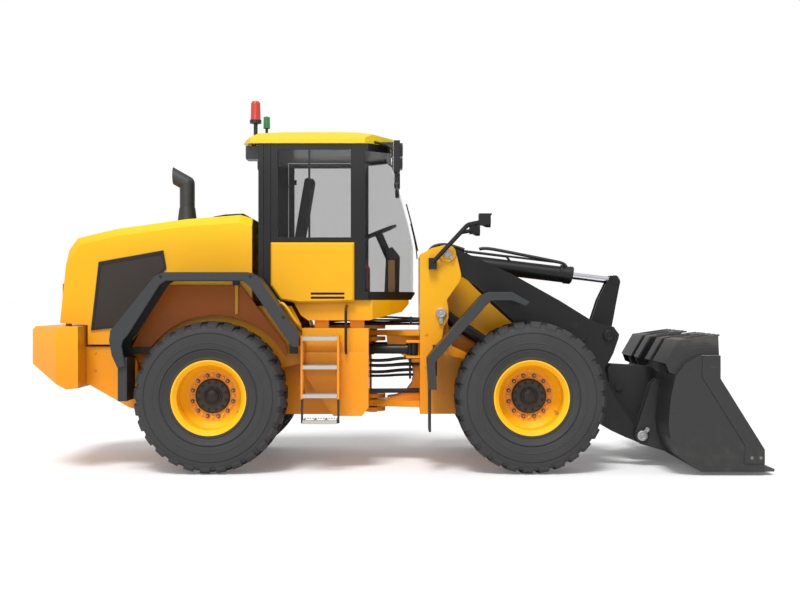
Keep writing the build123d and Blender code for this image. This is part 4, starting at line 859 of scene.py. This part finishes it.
def turned_copies_tree():
    """Copies of a part, turned about the Y axis, beside the host's own mesh."""
    tree, given = node_tree(
        "turned_copies",
        (("Part", "NodeSocketObject"), ("Count", "NodeSocketInt"), ("Start", "NodeSocketFloat"),
         ("Finish", "NodeSocketMaterial")),
    )
    part = make(tree, "GeometryNodeObjectInfo", "Geometry", Object=given["Part"])
    points = make(tree, "GeometryNodeMeshLine", "Mesh", Count=given["Count"], Offset=(0, 0, 0))
    index = make(tree, "GeometryNodeInputIndex", 0)
    angle = index * (2 * math.pi) / given["Count"] + given["Start"]
    turn = make(tree, "ShaderNodeCombineXYZ", 0, Y=angle)
    rotation = make(tree, "FunctionNodeEulerToRotation", 0, Euler=turn)
    copies = make(
        tree, "GeometryNodeInstanceOnPoints", 0, Points=points, Instance=part, Rotation=rotation
    )
    finish_tree(tree, given, copies, with_host=True)
    return tree


def placed_copies_tree():
    """A copy of a part on each point of the host."""
    tree, given = node_tree(
        "placed_copies", (("Part", "NodeSocketObject"), ("Finish", "NodeSocketMaterial"))
    )
    part = make(tree, "GeometryNodeObjectInfo", "Geometry", Object=given["Part"])
    copies = make(
        tree, "GeometryNodeInstanceOnPoints", 0, Points=given["Geometry"], Instance=part
    )
    finish_tree(tree, given, copies, with_host=False)
    return tree


def grown(name, host_mesh, tree, part_mesh, finish, place=(0, 0, 0), body=None, **values):
    """Runs a node tree on a host mesh and a part, and keeps the result as a plain piece."""
    part, host = stand(name + "_part", part_mesh), stand(name + "_host", host_mesh)
    modifier = host.modifiers.new("copies", "NODES")
    modifier.node_group = tree
    wanted = {"Part": part, "Finish": finish, **values}
    for socket in tree.interface.items_tree:
        if socket.in_out == "INPUT" and socket.name in wanted:
            modifier[socket.identifier] = wanted[socket.name]
    shown = host.evaluated_get(bpy.context.evaluated_depsgraph_get())
    mesh = bpy.data.meshes.new_from_object(shown)
    for item in (part, host):
        bpy.data.objects.remove(item)
    mesh.transform(Matrix.Translation(place))
    return remade(mesh, name, finish, body, 30.0)


turned_copies = turned_copies_tree()
placed_copies = placed_copies_tree()
print("node trees", turned_copies.name, placed_copies.name)

# %% [markdown]
# ## Tyres
# A loader's tyre has a deep shoulder of chevron lugs over a round carcass, and rings moulded
# in its sidewall. The carcass is turned from its half section. One lug is lofted along the
# tread, leaning as it nears the shoulder, and its copies are set round the tyre, with those
# of the far side half a step on. The solid tyre is replaced, and keeps its size.

# %% Tyres
TYRE_TURNS = 112
LUG_COUNT = 28
CARCASS_HALF = (
    # radius, place along the axle
    (0.322, 0.205), (0.345, 0.224), (0.362, 0.236), (0.376, 0.236), (0.384, 0.231),
    (0.404, 0.239), (0.436, 0.248), (0.440, 0.2515), (0.448, 0.2515), (0.451, 0.2440),
    (0.458, 0.2440), (0.462, 0.2520), (0.480, 0.2550), (0.512, 0.2575), (0.515, 0.2600),
    (0.523, 0.2600), (0.526, 0.2578), (0.560, 0.2585), (0.600, 0.2560), (0.603, 0.2500),
    (0.609, 0.2500), (0.612, 0.2550), (0.636, 0.2510), (0.656, 0.2430), (0.672, 0.2300),
    (0.684, 0.2080), (0.691, 0.1700), (0.694, 0.1100), (0.695, 0.0400),
)
LUG_STATIONS = (
    # along the axle, tip radius, root radius, lean, half width at the tip
    (-0.022, 0.7172, 0.682, 0.000, 0.044),
    (0.060, 0.7172, 0.682, 0.018, 0.054),
    (0.130, 0.7168, 0.680, 0.040, 0.064),
    (0.172, 0.7145, 0.676, 0.054, 0.068),
    (0.196, 0.7090, 0.668, 0.058, 0.069),
    (0.222, 0.6960, 0.654, 0.062, 0.068),
    (0.2450, 0.6760, 0.640, 0.064, 0.066),
)
LUG_FLARE = 0.010
LUG_SHOULDER = 0.006
LUG_DRAFT = 0.002
TYRE_CREASE_DEG = 28.0


def carcass_mesh():
    """The tyre without its lugs, turned about the axle."""
    profile = list(CARCASS_HALF) + [(radius, -along) for radius, along in reversed(CARCASS_HALF)]
    return to_mesh(turned(profile, (0, 0, 0), TYRE_TURNS), "carcass", TYRE_CREASE_DEG)


def lug_mesh(side):
    """One lug, lofted along the axle and mirrored for the far side."""
    shell = bmesh.new()
    rings = []
    for along, tip, root, lean, half in LUG_STATIONS:
        section = (
            (root, lean - half - LUG_FLARE), (tip - LUG_SHOULDER, lean - half - LUG_DRAFT),
            (tip, lean - half + LUG_SHOULDER), (tip, lean + half - LUG_SHOULDER),
            (tip - LUG_SHOULDER, lean + half + LUG_DRAFT), (root, lean + half + LUG_FLARE),
        )
        rings.append(
            [(radius * math.sin(angle), side * along, -radius * math.cos(angle))
             for radius, angle in section]
        )
    skin(shell, rings)
    return to_mesh(shell, "lug", TYRE_CREASE_DEG)


for corner in CORNERS:
    half_set = grown(
        "half_tyre_" + corner, carcass_mesh(), turned_copies, lug_mesh(1), tyre_rubber,
        Count=LUG_COUNT, Start=0.0,
    )
    half_mesh = half_set.data
    bpy.data.objects.remove(half_set)
    tyre = grown(
        "tyre_skin_" + corner, half_mesh, turned_copies, lug_mesh(-1), tyre_rubber,
        place=CENTRES[corner], body="wheel_" + corner, Count=LUG_COUNT,
        Start=math.pi / LUG_COUNT,
    )
    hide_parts("tyre_" + corner)
print("tyre faces", len(tyre.data.polygons))

# %% [markdown]
# ## Wheel hardware
# Each rim has a ring of collared nuts with the ends of their studs, a ring of bolts round the
# hub's cover, a cap in the middle and a valve. One bolt is turned, and the tree sets its
# copies about the axle.

# %% Wheel hardware
RING_COUNT = 12
STUD_RING = 0.200
COVER_RING = 0.132
DISC_FACE = -0.076
DISC_BACK = DISC_FACE - 0.024
COVER_STEP = {"front": 0.071, "rear": 0.059}
CAP_STEP = {"front": 0.094, "rear": 0.076}
CAP_SHARE = 0.72
STUD_PROFILE = ((0.0, 0.0), (0.0075, 0.0), (0.0075, 0.030), (0.006, 0.033), (0.0, 0.033))
NUT_PROFILE = (
    (0.0, 0.0), (0.0215, 0.0), (0.0215, 0.004), (0.0175, 0.005), (0.0175, 0.020), (0.013, 0.024),
    (0.0, 0.024),
)
BOLT_PROFILE = (
    (0.0, 0.0), (0.015, 0.0), (0.015, 0.003), (0.010, 0.003), (0.010, 0.011), (0.0, 0.012),
)
COVER_PROFILE = (
    (0.0, 0.0), (0.112, 0.0), (0.112, 0.010), (0.104, 0.016), (0.090, 0.016), (0.084, 0.030),
    (0.060, 0.040), (0.0, 0.042),
)
VALVE_RADIUS = 0.006
VALVE_PATH = (
    # forward of the axle, outward of the tyre's middle, above the axle
    (0.245, -0.066, -0.140), (0.250, 0.070, -0.145), (0.262, 0.190, -0.150),
)
for corner in CORNERS:
    end = corner.split("_")[0]
    outward = 1 if "left" in corner else -1
    centre = CENTRES[corner]
    body = "wheel_" + corner
    ring_rows = (
        # name, profile, ring, seat, finish, sides
        ("nuts_", NUT_PROFILE, STUD_RING, DISC_FACE + 0.002, nut_steel, 6),
        ("studs_", STUD_PROFILE, STUD_RING, DISC_FACE + 0.004, pin_steel, 12),
        ("cover_bolts_", BOLT_PROFILE, COVER_RING, DISC_BACK + COVER_STEP[end], trim_black, 6),
    )
    for label, profile, ring, seat, finish, sides in ring_rows:
        bolt = turned([(r, outward * (a + seat)) for r, a in profile], (ring, 0, 0), sides)
        grown(
            label + corner, bpy.data.meshes.new("nothing"), turned_copies, to_mesh(bolt, "bolt"),
            finish, place=centre, body=body, Count=RING_COUNT, Start=math.pi / RING_COUNT,
        )
    cap_seat = DISC_BACK + CAP_STEP[end]
    cap = turned([(r * CAP_SHARE, outward * (a + cap_seat)) for r, a in COVER_PROFILE], centre)
    finished(cap, "hub_cap_" + corner, trim_black, body)
    valve = [centre + Vector((x, outward * y, z)) for x, y, z in VALVE_PATH]
    tube("valve_" + corner, valve, VALVE_RADIUS, pin_steel, body)
print("wheels with hardware", len(CORNERS))

# %% [markdown]
# ## Pins and their keepers
# The big pins end in turned heads. Most are kept from turning by a flag plate with one bolt,
# which is the bright pair of rings seen on the tower, at the foot of the lift cylinder.

# %% Pin heads
HEAD_PROFILE = (
    # shares of the pin's radius and of its height
    (0.0, 0.0), (1.0, 0.0), (1.0, 0.55), (0.88, 0.75), (0.60, 0.75), (0.56, 0.55),
    (0.34, 0.55), (0.30, 0.72), (0.0, 0.72),
)
KEEPER_BOLT_SHARE = 0.45
KEEPER_HALF_SHARE = 0.4
KEEPER_THICK_SHARE = 0.4
KEEPER_REACH = 1.15
PIN_ROWS = (
    # name, body, x, z, radius, inner face, height, keeper dx, keeper dz, finish
    ("lift_base", "front_frame", 0.443, 1.511, 0.050, 0.618, 0.026, 0.000, -0.085, pin_steel),
    ("lift_pivot", "front_frame", 0.505, 2.096, 0.036, 0.630, 0.018, 0.046, -0.052, pin_steel),
    ("crank_side", "boom", 2.100, 1.287, 0.052, 0.560, 0.016, 0.0, 0.0, arm_paint),
    ("bucket_side", "bucket", 2.417, 0.308, 0.050, 0.628, 0.014, 0.048, 0.060, pin_steel),
)


def keeper_outline(x, z, keep_x, keep_z, half):
    """A flag plate from the pin's middle to just past its bolt."""
    lean = math.atan2(keep_z, keep_x)
    off_x, off_z = -math.sin(lean) * half, math.cos(lean) * half
    end_x, end_z = x + keep_x * KEEPER_REACH, z + keep_z * KEEPER_REACH
    return [(x + off_x, z + off_z), (x - off_x, z - off_z),
            (end_x - off_x, end_z - off_z), (end_x + off_x, end_z + off_z)]


for name, body, x, z, radius, face, height, keep_x, keep_z, finish in PIN_ROWS:
    for side_name, side in BOTH:
        head = [(r * radius, side * (face + a * height)) for r, a in HEAD_PROFILE]
        shell = turned(head, (x, 0, z), 36)
        if keep_x or keep_z:
            bolt = [(r * KEEPER_BOLT_SHARE, along) for r, along in head]
            lathe(shell, bolt, (x + keep_x, 0, z + keep_z), 24)
            near, far = sorted((side * face, side * (face + height * KEEPER_THICK_SHARE)))
            outline = keeper_outline(x, z, keep_x, keep_z, radius * KEEPER_HALF_SHARE)
            slab(shell, outline, near, far)
        finished(shell, f"pin_{name}_{side_name}", finish, body)
print("pins", len(PIN_ROWS) * len(BOTH))

# %% [markdown]
# ## Hoses across the pivot
# Between the tank and the tower, hoses cross the pivot in two groups: thin ones above the
# steering cylinders, and a ladder of thicker ones below. They are clamped at the tower.

# %% Hoses
HOSE_ROWS = (
    # near y, far y, height behind, height ahead, sag, radius
    (-0.30, -0.18, 1.455, 1.440, 0.010, 0.011), (-0.24, -0.12, 1.425, 1.452, -0.030, 0.011),
    (-0.18, -0.06, 1.400, 1.395, 0.004, 0.013), (-0.29, -0.24, 1.035, 1.060, 0.020, 0.017),
    (-0.22, -0.20, 0.985, 0.990, 0.012, 0.017), (-0.29, -0.15, 0.925, 0.935, 0.018, 0.017),
    (-0.22, -0.10, 0.875, 0.880, 0.008, 0.014), (-0.27, -0.18, 0.735, 0.722, 0.006, 0.024),
    (0.24, 0.16, 1.430, 1.420, 0.020, 0.012), (0.26, 0.18, 0.960, 0.980, 0.020, 0.017),
)
HOSE_STATIONS = (-0.70, -0.54, -0.32, -0.12, 0.06, 0.245)
CLAMP_THICK = 0.022
CLAMP_HALF = 0.085
CLAMP_ROWS = (
    # x, y, low, high
    (0.13, -0.19, 0.845, 1.080), (0.14, -0.13, 1.385, 1.470),
)
for index, (y_near, y_far, behind, ahead, sag, radius) in enumerate(HOSE_ROWS):
    middle = (behind + ahead) / 2 - sag
    sides = (y_near, y_near, y_near, (y_near + y_far) / 2, y_far, y_far)
    heights = (behind, behind, middle + sag * 0.3, middle, ahead - sag * 0.2, ahead)
    hose = tube(f"hose_{index}", list(zip(HOSE_STATIONS, sides, heights)), radius, hose_rubber)
    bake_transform(hose)
for index, (x, y, low, high) in enumerate(CLAMP_ROWS):
    clamp = plate(oblong(x, x + CLAMP_THICK, low, high), (y - CLAMP_HALF, y + CLAMP_HALF))
    finished(clamp, f"clamp_{index}", trim_black, "front_frame")
print("hoses", len(HOSE_ROWS))

# %% [markdown]
# ## Pipes of the tilt cylinder and the arm
# Oil reaches the tilt cylinder through two hoses over the tower's top, and a thick feed runs
# along its back to the gland. Lines follow the arm's inner face towards the crank.

# %% Tilt hoses and arm lines
TILT_HOSE_SPREAD = 0.034
TILT_HOSE_RADIUS = 0.017
TILT_HOSE_PATH = (
    # forward, share of the spread, height
    (0.30, 2.2, 2.020), (0.33, 2.0, 2.170), (0.47, 1.6, 2.215), (0.60, 1.0, 2.190),
    (0.70, 1.0, 2.155),
)
ARM_LINE_RADIUS = 0.010
ARM_LINE_DROPS = (0.0, 0.035)
ARM_LINE_PATH = (
    # forward, outward, height
    (0.66, 0.455, 1.985), (0.85, 0.455, 1.925), (1.20, 0.455, 1.745), (1.58, 0.455, 1.530),
    (1.66, 0.440, 1.470),
)
for index, y in enumerate((-TILT_HOSE_SPREAD, TILT_HOSE_SPREAD)):
    path = [(x, y * share, z) for x, share, z in TILT_HOSE_PATH]
    line = tube(f"tilt_hose_{index}", path, TILT_HOSE_RADIUS, hose_rubber)
    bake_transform(line)
for side_name, side in BOTH:
    for index, drop in enumerate(ARM_LINE_DROPS):
        path = sided(ARM_LINE_PATH, side, drop)
        tube(f"arm_line_{index}_{side_name}", path, ARM_LINE_RADIUS, zinc_steel, "boom")
print("arm lines", len(ARM_LINE_DROPS) * len(BOTH))

# %% [markdown]
# ## The tilt cylinder's gland and feed
# The gland is the thick ring that closes the barrel where the rod comes out. It is turned
# about the X axis and then leaned with the cylinder, and the feed's path is written beside
# that same axis.

# %% Gland and feed
AXIS_END = Vector((1.800, 0.0, 1.896))
AXIS_LEAN = math.radians(11.03)
GLAND_PROFILE = (
    (0.066, -0.130), (0.082, -0.126), (0.082, -0.100), (0.076, -0.096), (0.076, -0.030),
    (0.086, -0.026), (0.086, 0.006), (0.078, 0.012), (0.046, 0.014), (0.046, -0.130),
)
FEED_RADIUS = 0.017
FEED_PATH = (
    # along the axis from its front end, sideways, above the axis
    (-0.98, -0.030, 0.078), (-0.94, -0.036, 0.104), (-0.70, -0.045, 0.106),
    (-0.20, -0.045, 0.104), (-0.09, -0.040, 0.100), (-0.07, -0.030, 0.070),
)
beside_axis = Matrix.Translation(AXIS_END) @ Matrix.Rotation(AXIS_LEAN, 4, "Y")
gland = turned(GLAND_PROFILE, (0, 0, 0), axis="X")
bmesh.ops.transform(gland, matrix=beside_axis, verts=gland.verts)
finished(gland, "tilt_gland", trim_black, "tilt_barrel")
feed = [beside_axis @ Vector(point) for point in FEED_PATH]
tube("tilt_feed", feed, FEED_RADIUS, hose_rubber, "tilt_barrel")
print("gland and feed done")

# %% [markdown]
# ## Lamps and mirrors
# The round lamps have a ribbed glass set in a dark bowl. The boxes under the roof have flat
# lenses, front and rear, and the mirrors have a silvered face towards the driver.

# %% Lenses and mirror glass
FLAT_BEVEL = 0.0015
LAMP_FACE_X = 0.903
LAMP_OUT = 0.840
LAMP_HEIGHT = 2.400
LENS_PROFILE = ((0.0, 0.0), (0.051, 0.0), (0.052, 0.004), (0.036, 0.011), (0.0, 0.014))
FLAT_ROWS = (
    # name, rear x, front x, inner y, outer y, low, high, finish
    ("roof_lens_front_", 0.0645, 0.0700, 0.520, 0.675, 3.055, 3.155, lamp_lens),
    ("roof_lens_rear_", -1.4750, -1.4695, 0.435, 0.625, 3.035, 3.135, lamp_lens),
    ("mirror_glass_", -0.0245, -0.0195, 0.812, 0.988, 2.875, 3.145, chrome),
    ("low_mirror_glass_", -0.0140, -0.0095, 0.848, 0.952, 2.768, 2.842, chrome),
)
for side_name, side in BOTH:
    lens = turned(LENS_PROFILE, (LAMP_FACE_X, side * LAMP_OUT, LAMP_HEIGHT), axis="X")
    finished(lens, "lamp_glass_" + side_name, lamp_lens, "front_frame")
    for label, start, end, near, far, low, high, finish in FLAT_ROWS:
        outline = oblong(*sorted((side * near, side * far)), low, high)
        flat = plate(outline, (start, end), "X", FLAT_BEVEL)
        finished(flat, label + side_name, finish, "rear_frame")
print("flat glasses", len(FLAT_ROWS) * len(BOTH))

# %% [markdown]
# ## Wire mesh
# Over the slats of each side grille lies a fine wire mesh. It is two sets of waves at right
# angles, used as bumps on nearly black metal.

# %% Wire mesh
WIRE_SCALE = 60.0
WIRE_TONES = ((0.018, 0.013, 0.010), (0.060, 0.045, 0.034))


def wire_mesh():
    """Dark woven wire: a fine grid of bumps over black."""
    weave = Finish("wire_mesh")
    ways = []
    for direction in ("X", "Z"):
        band = {"bands_direction": direction}
        ways.append(
            weave.make("ShaderNodeTexWave", 1, band, Vector=weave.place(), Scale=WIRE_SCALE)
        )
    wires = ways[0] * ways[1]
    return weave.done(
        Base_Color=weave.blend(wires, *WIRE_TONES), Roughness=0.35 + wires * 0.2, Metallic=0.3,
        Normal=weave.bump(wires, 0.002, 0.6),
    )


grille_mesh = wire_mesh()
print("wire mesh ready")

# %% [markdown]
# ## Plates on the hood and in the arch
# The grille's mesh, the tail lamps on the rear corners, the low intake on top of the hood and
# the liner of the wheel arch are plates cut to an outline. The liner's lower edge is an arc
# about the rear axle, with room for the tyre.

# %% Plates on the hood and in the arch
GRILLE_OUTLINE = (
    (-2.868, 1.982), (-2.282, 2.086), (-2.258, 1.957), (-2.715, 1.396), (-2.938, 1.370),
)
GRILLE_FACES = (0.7285, 0.7325)
TAIL_WIDTH = (0.545, 0.665)
TAIL_HEIGHT = (1.56, 1.80)
TAIL_DEPTH = (-3.2580, -3.2200)
LINER_FACES = (0.738, 0.743)
LINER_INNER = 0.775
LINER_SWEEP_DEG = (28, 152)
LINER_STEPS = 24
LINER_OUTER = ((-2.560, 1.190), (-2.250, 1.778), (-1.500, 1.778), (-1.060, 1.190))
INTAKE_HALF = 0.42
INTAKE_SIDE = (
    (-1.830, 2.450), (-1.825, 2.470), (-1.700, 2.492), (-1.520, 2.502), (-1.505, 2.492),
    (-1.505, 2.460),
)
rear_axle = CENTRES["rear_left"]
liner_outline = list(LINER_OUTER)
for index in range(LINER_STEPS + 1):
    start, stop = LINER_SWEEP_DEG
    swing = math.radians(start + (stop - start) * index / LINER_STEPS)
    liner_outline.append(
        (rear_axle.x + LINER_INNER * math.cos(swing), rear_axle.z + LINER_INNER * math.sin(swing))
    )
for side_name, side in BOTH:
    grille = plate(GRILLE_OUTLINE, [side * face for face in GRILLE_FACES], bevel=0.0)
    finished(grille, "grille_mesh_" + side_name, grille_mesh, "hood")
    outline = oblong(*sorted(side * edge for edge in TAIL_WIDTH), *TAIL_HEIGHT)
    finished(plate(outline, TAIL_DEPTH, "X", 0.004), "tail_lamp_" + side_name, tail_lens, "hood")
    # The liner's deep orange is painted shade under the fender.
    liner = plate(liner_outline, [side * face for face in LINER_FACES], bevel=0.0)
    finished(liner, "arch_liner_" + side_name, arch_paint, "rear_frame")
intake = plate(INTAKE_SIDE, (-INTAKE_HALF, INTAKE_HALF), bevel=0.006)
finished(intake, "hood_intake", trim_black, "hood")
print("liner points", len(liner_outline))

# %% [markdown]
# ## Seat
# The driver's seat is upholstered: a base cushion and a tall back, each crowned in its middle
# and drawn in at its corners. Each starts as a finely divided block. Its faces are swelled by
# a dome, and its edges are rounded. The plain solid of the seat is replaced, so its pedestal
# is made again below the cushions.

# %% Seat cloth and cushions
CLOTH_TONES = ((0.020, 0.020, 0.022), (0.060, 0.060, 0.064))
PAD_CUTS = 5
PAD_PINCH = 0.06
PAD_ROUND = 0.012
SEAT_ROWS = (
    # name, centre, size, lean, crown
    ("seat_base_pad", (-0.685, 0, 2.168), (0.46, 0.48, 0.115), -0.06, 0.22),
    ("seat_back_pad", (-0.935, 0, 2.560), (0.66, 0.44, 0.085), -1.400, 0.25),
)
PEDESTAL_ROWS = (
    # outline of the side, half width
    (((-0.86, 1.690), (-0.56, 1.690), (-0.58, 1.90), (-0.84, 1.90)), 0.18),
    (((-0.82, 1.90), (-0.60, 1.90), (-0.58, 2.110), (-0.84, 2.110)), 0.14),
)


def seat_cloth_finish():
    """Dark woven cloth."""
    cloth = Finish("seat_cloth")
    weave = cloth.make("ShaderNodeTexVoronoi", 0, Vector=cloth.place(), Scale=420.0)
    drift = cloth.noise(6.0)
    tone = cloth.blend(weave * 0.6 + drift * 0.3, *CLOTH_TONES)
    normal = cloth.bump(weave, 0.001, 0.5)
    return cloth.done(Base_Color=tone, Roughness=0.85 + drift * 0.1, Normal=normal)


def cushion(centre, size, lean, crown):
    """A crowned pad of the given size, leaned about the Y axis."""
    shell = bmesh.new()
    bmesh.ops.create_cube(shell, size=1.0)
    bmesh.ops.subdivide_edges(shell, edges=shell.edges, cuts=PAD_CUTS, use_grid_fill=True)
    for vert in shell.verts:
        u, v, w = (2 * place for place in vert.co)
        top = 1 + crown * (1 - u * u) * (1 - v * v)
        pinch = 1 - PAD_PINCH * (u * u * v * v)
        vert.co = Vector((u * size[0] * pinch, v * size[1] * pinch, w * size[2] * top)) / 2
    corners = [edge for edge in shell.edges if edge.calc_face_angle(0) > 1.0]
    bmesh.ops.bevel(shell, geom=corners, offset=PAD_ROUND, segments=2, affect="EDGES")
    turn = Matrix.Translation(centre) @ Matrix.Rotation(lean, 4, "Y")
    bmesh.ops.transform(shell, matrix=turn, verts=shell.verts)
    return shell


seat_cloth = seat_cloth_finish()
for name, centre, size, lean, crown in SEAT_ROWS:
    mesh = to_mesh(cushion(centre, size, lean, crown), name, 50.0)
    pad = as_piece(mesh, name, seat_cloth, "rear_frame")
shell = bmesh.new()
for outline, half in PEDESTAL_ROWS:
    slab(shell, outline, -half, half, bevel=0.01)
pedestal = finished(shell, "seat_pedestal", trim_black, "rear_frame")
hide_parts("seat")
print("cushions", len(SEAT_ROWS))

# %% [markdown]
# ## Inside the cab
# Through the front glass a dark red extinguisher and the edge of a tan board show. One is
# turned, and the other is cut from a plate.

# %% Inside the cab
BOTTLE_PLACE = (-0.300, -0.450, 1.660)
BOTTLE_PROFILE = (
    (0.0, 0.0), (0.040, 0.0), (0.043, 0.006), (0.043, 0.290), (0.030, 0.320), (0.014, 0.330),
    (0.014, 0.380), (0.0, 0.380),
)
BOARD_SIDE = (-0.080, -0.010, 1.660, 2.040)
BOARD_FACES = (-0.32, -0.29)
bottle = turned(BOTTLE_PROFILE, BOTTLE_PLACE, 32, "Z")
finished(bottle, "extinguisher", red_shell, "rear_frame")
board = plate(oblong(*BOARD_SIDE), BOARD_FACES, bevel=0.004)
finished(board, "side_board", tan_board, "rear_frame")
print("cab pieces done")

# %% [markdown]
# ## Handrails and wiper
# A yellow grab handle stands by the steps, with a tall dark rail beside the door. The wiper
# lies up the curved screen. All are round bars, so each is a tube along a short path.

# %% Rails and wiper
RAIL_ROWS = (
    # name, radius, finish, path as (forward, outward, height)
    ("grab_handle_", 0.014, yellow_paint,
     ((-1.120, 0.860, 1.560), (-1.110, 0.960, 1.615), (-1.060, 0.985, 1.600),
      (-0.960, 0.985, 1.440), (-0.925, 0.960, 1.390), (-0.915, 0.850, 1.360))),
    ("door_rail_", 0.013, trim_black,
     ((-0.480, 0.780, 1.120), (-0.480, 0.900, 1.130), (-0.480, 0.905, 1.200),
      (-0.480, 0.900, 1.500), (-0.480, 0.895, 1.570), (-0.480, 0.650, 1.580))),
)
WIPER_ROWS = (
    # name, radius, path
    ("wiper_arm", 0.006, ((0.215, -0.02, 2.060), (0.212, -0.03, 2.180), (0.150, -0.05, 2.420))),
    ("wiper_blade", 0.007, ((0.222, -0.06, 2.140), (0.166, -0.06, 2.400), (0.104, -0.06, 2.620))),
)
for side_name, side in BOTH:
    for label, radius, finish, path in RAIL_ROWS:
        tube(label + side_name, sided(path, side), radius, finish, "rear_frame")
for label, radius, path in WIPER_ROWS:
    tube(label, path, radius, trim_black, "rear_frame")
print("rails", len(RAIL_ROWS) * len(BOTH))

# %% [markdown]
# ## Teeth on the treads
# A punched tread has raised teeth along both of its edges, for grip. The places are plain
# points, and the tree puts one small turned tooth on each.

# %% Teeth on the treads
TREAD_ROWS = (
    # top, near, far
    (1.290, 0.860, 1.100), (1.018, 0.860, 1.100), (0.746, 0.860, 1.100), (0.503, 0.900, 1.130),
)
TREAD_REAR_X = -0.870
TREAD_RUN = 0.3075
TEETH_PER_ROW = 13
TOOTH_INSET = 0.012
TOOTH_SINK = 0.002
TOOTH_PROFILE = ((0.0, 0.0), (0.009, 0.0), (0.006, 0.009), (0.0, 0.009))


def spots_mesh(points):
    """A mesh of loose points, for the tree to place copies on."""
    spots = bpy.data.meshes.new("spots")
    spots.from_pydata(points, [], [])
    return spots


teeth = []
for top, near, far in TREAD_ROWS:
    for _, side in BOTH:
        for edge in (near + TOOTH_INSET, far - TOOTH_INSET):
            for index in range(TEETH_PER_ROW):
                x = TREAD_REAR_X + TREAD_RUN * index / (TEETH_PER_ROW - 1)
                teeth.append((x, side * edge, top - TOOTH_SINK))
tooth = to_mesh(turned(TOOTH_PROFILE, (0, 0, 0), 8, "Z"), "tooth")
grown("tread_teeth", spots_mesh(teeth), placed_copies, tooth, zinc_steel, body="rear_frame")
print("teeth", len(teeth))

# %% [markdown]
# ## Bolts on the frames
# The tower, the counterweight and the fender stays show a few bolt heads each. They are the
# hub's bolts again, made lower, and placed on points by the same tree.

# %% Bolt heads
HEAD_SHARE = 0.55
BOLT_ROWS = (
    # name, body, y, finish, places as (x, z)
    ("tower_bolts", "front_frame", 0.5995, yellow_paint,
     ((0.30, 1.30), (0.30, 0.98), (0.46, 0.72), (0.95, 0.72))),
    ("weight_bolts", "rear_frame", 0.6895, yellow_paint,
     ((-2.93, 0.95), (-2.93, 1.12), (-2.62, 0.72))),
    ("fender_bolts", "rear_frame", 1.2195, trim_black,
     ((-2.20, 1.860), (-1.36, 1.860), (-1.05, 1.475))),
)
for name, body, face, finish, places in BOLT_ROWS:
    for side_name, side in BOTH:
        head = turned([(r, side * a * HEAD_SHARE) for r, a in BOLT_PROFILE], (0, 0, 0), 12)
        spots = spots_mesh([(x, side * face, z) for x, z in places])
        label = f"{name}_{side_name}"
        grown(label, spots, placed_copies, to_mesh(head, "head"), finish, body=body)
print("bolt groups", len(BOLT_ROWS) * len(BOTH))
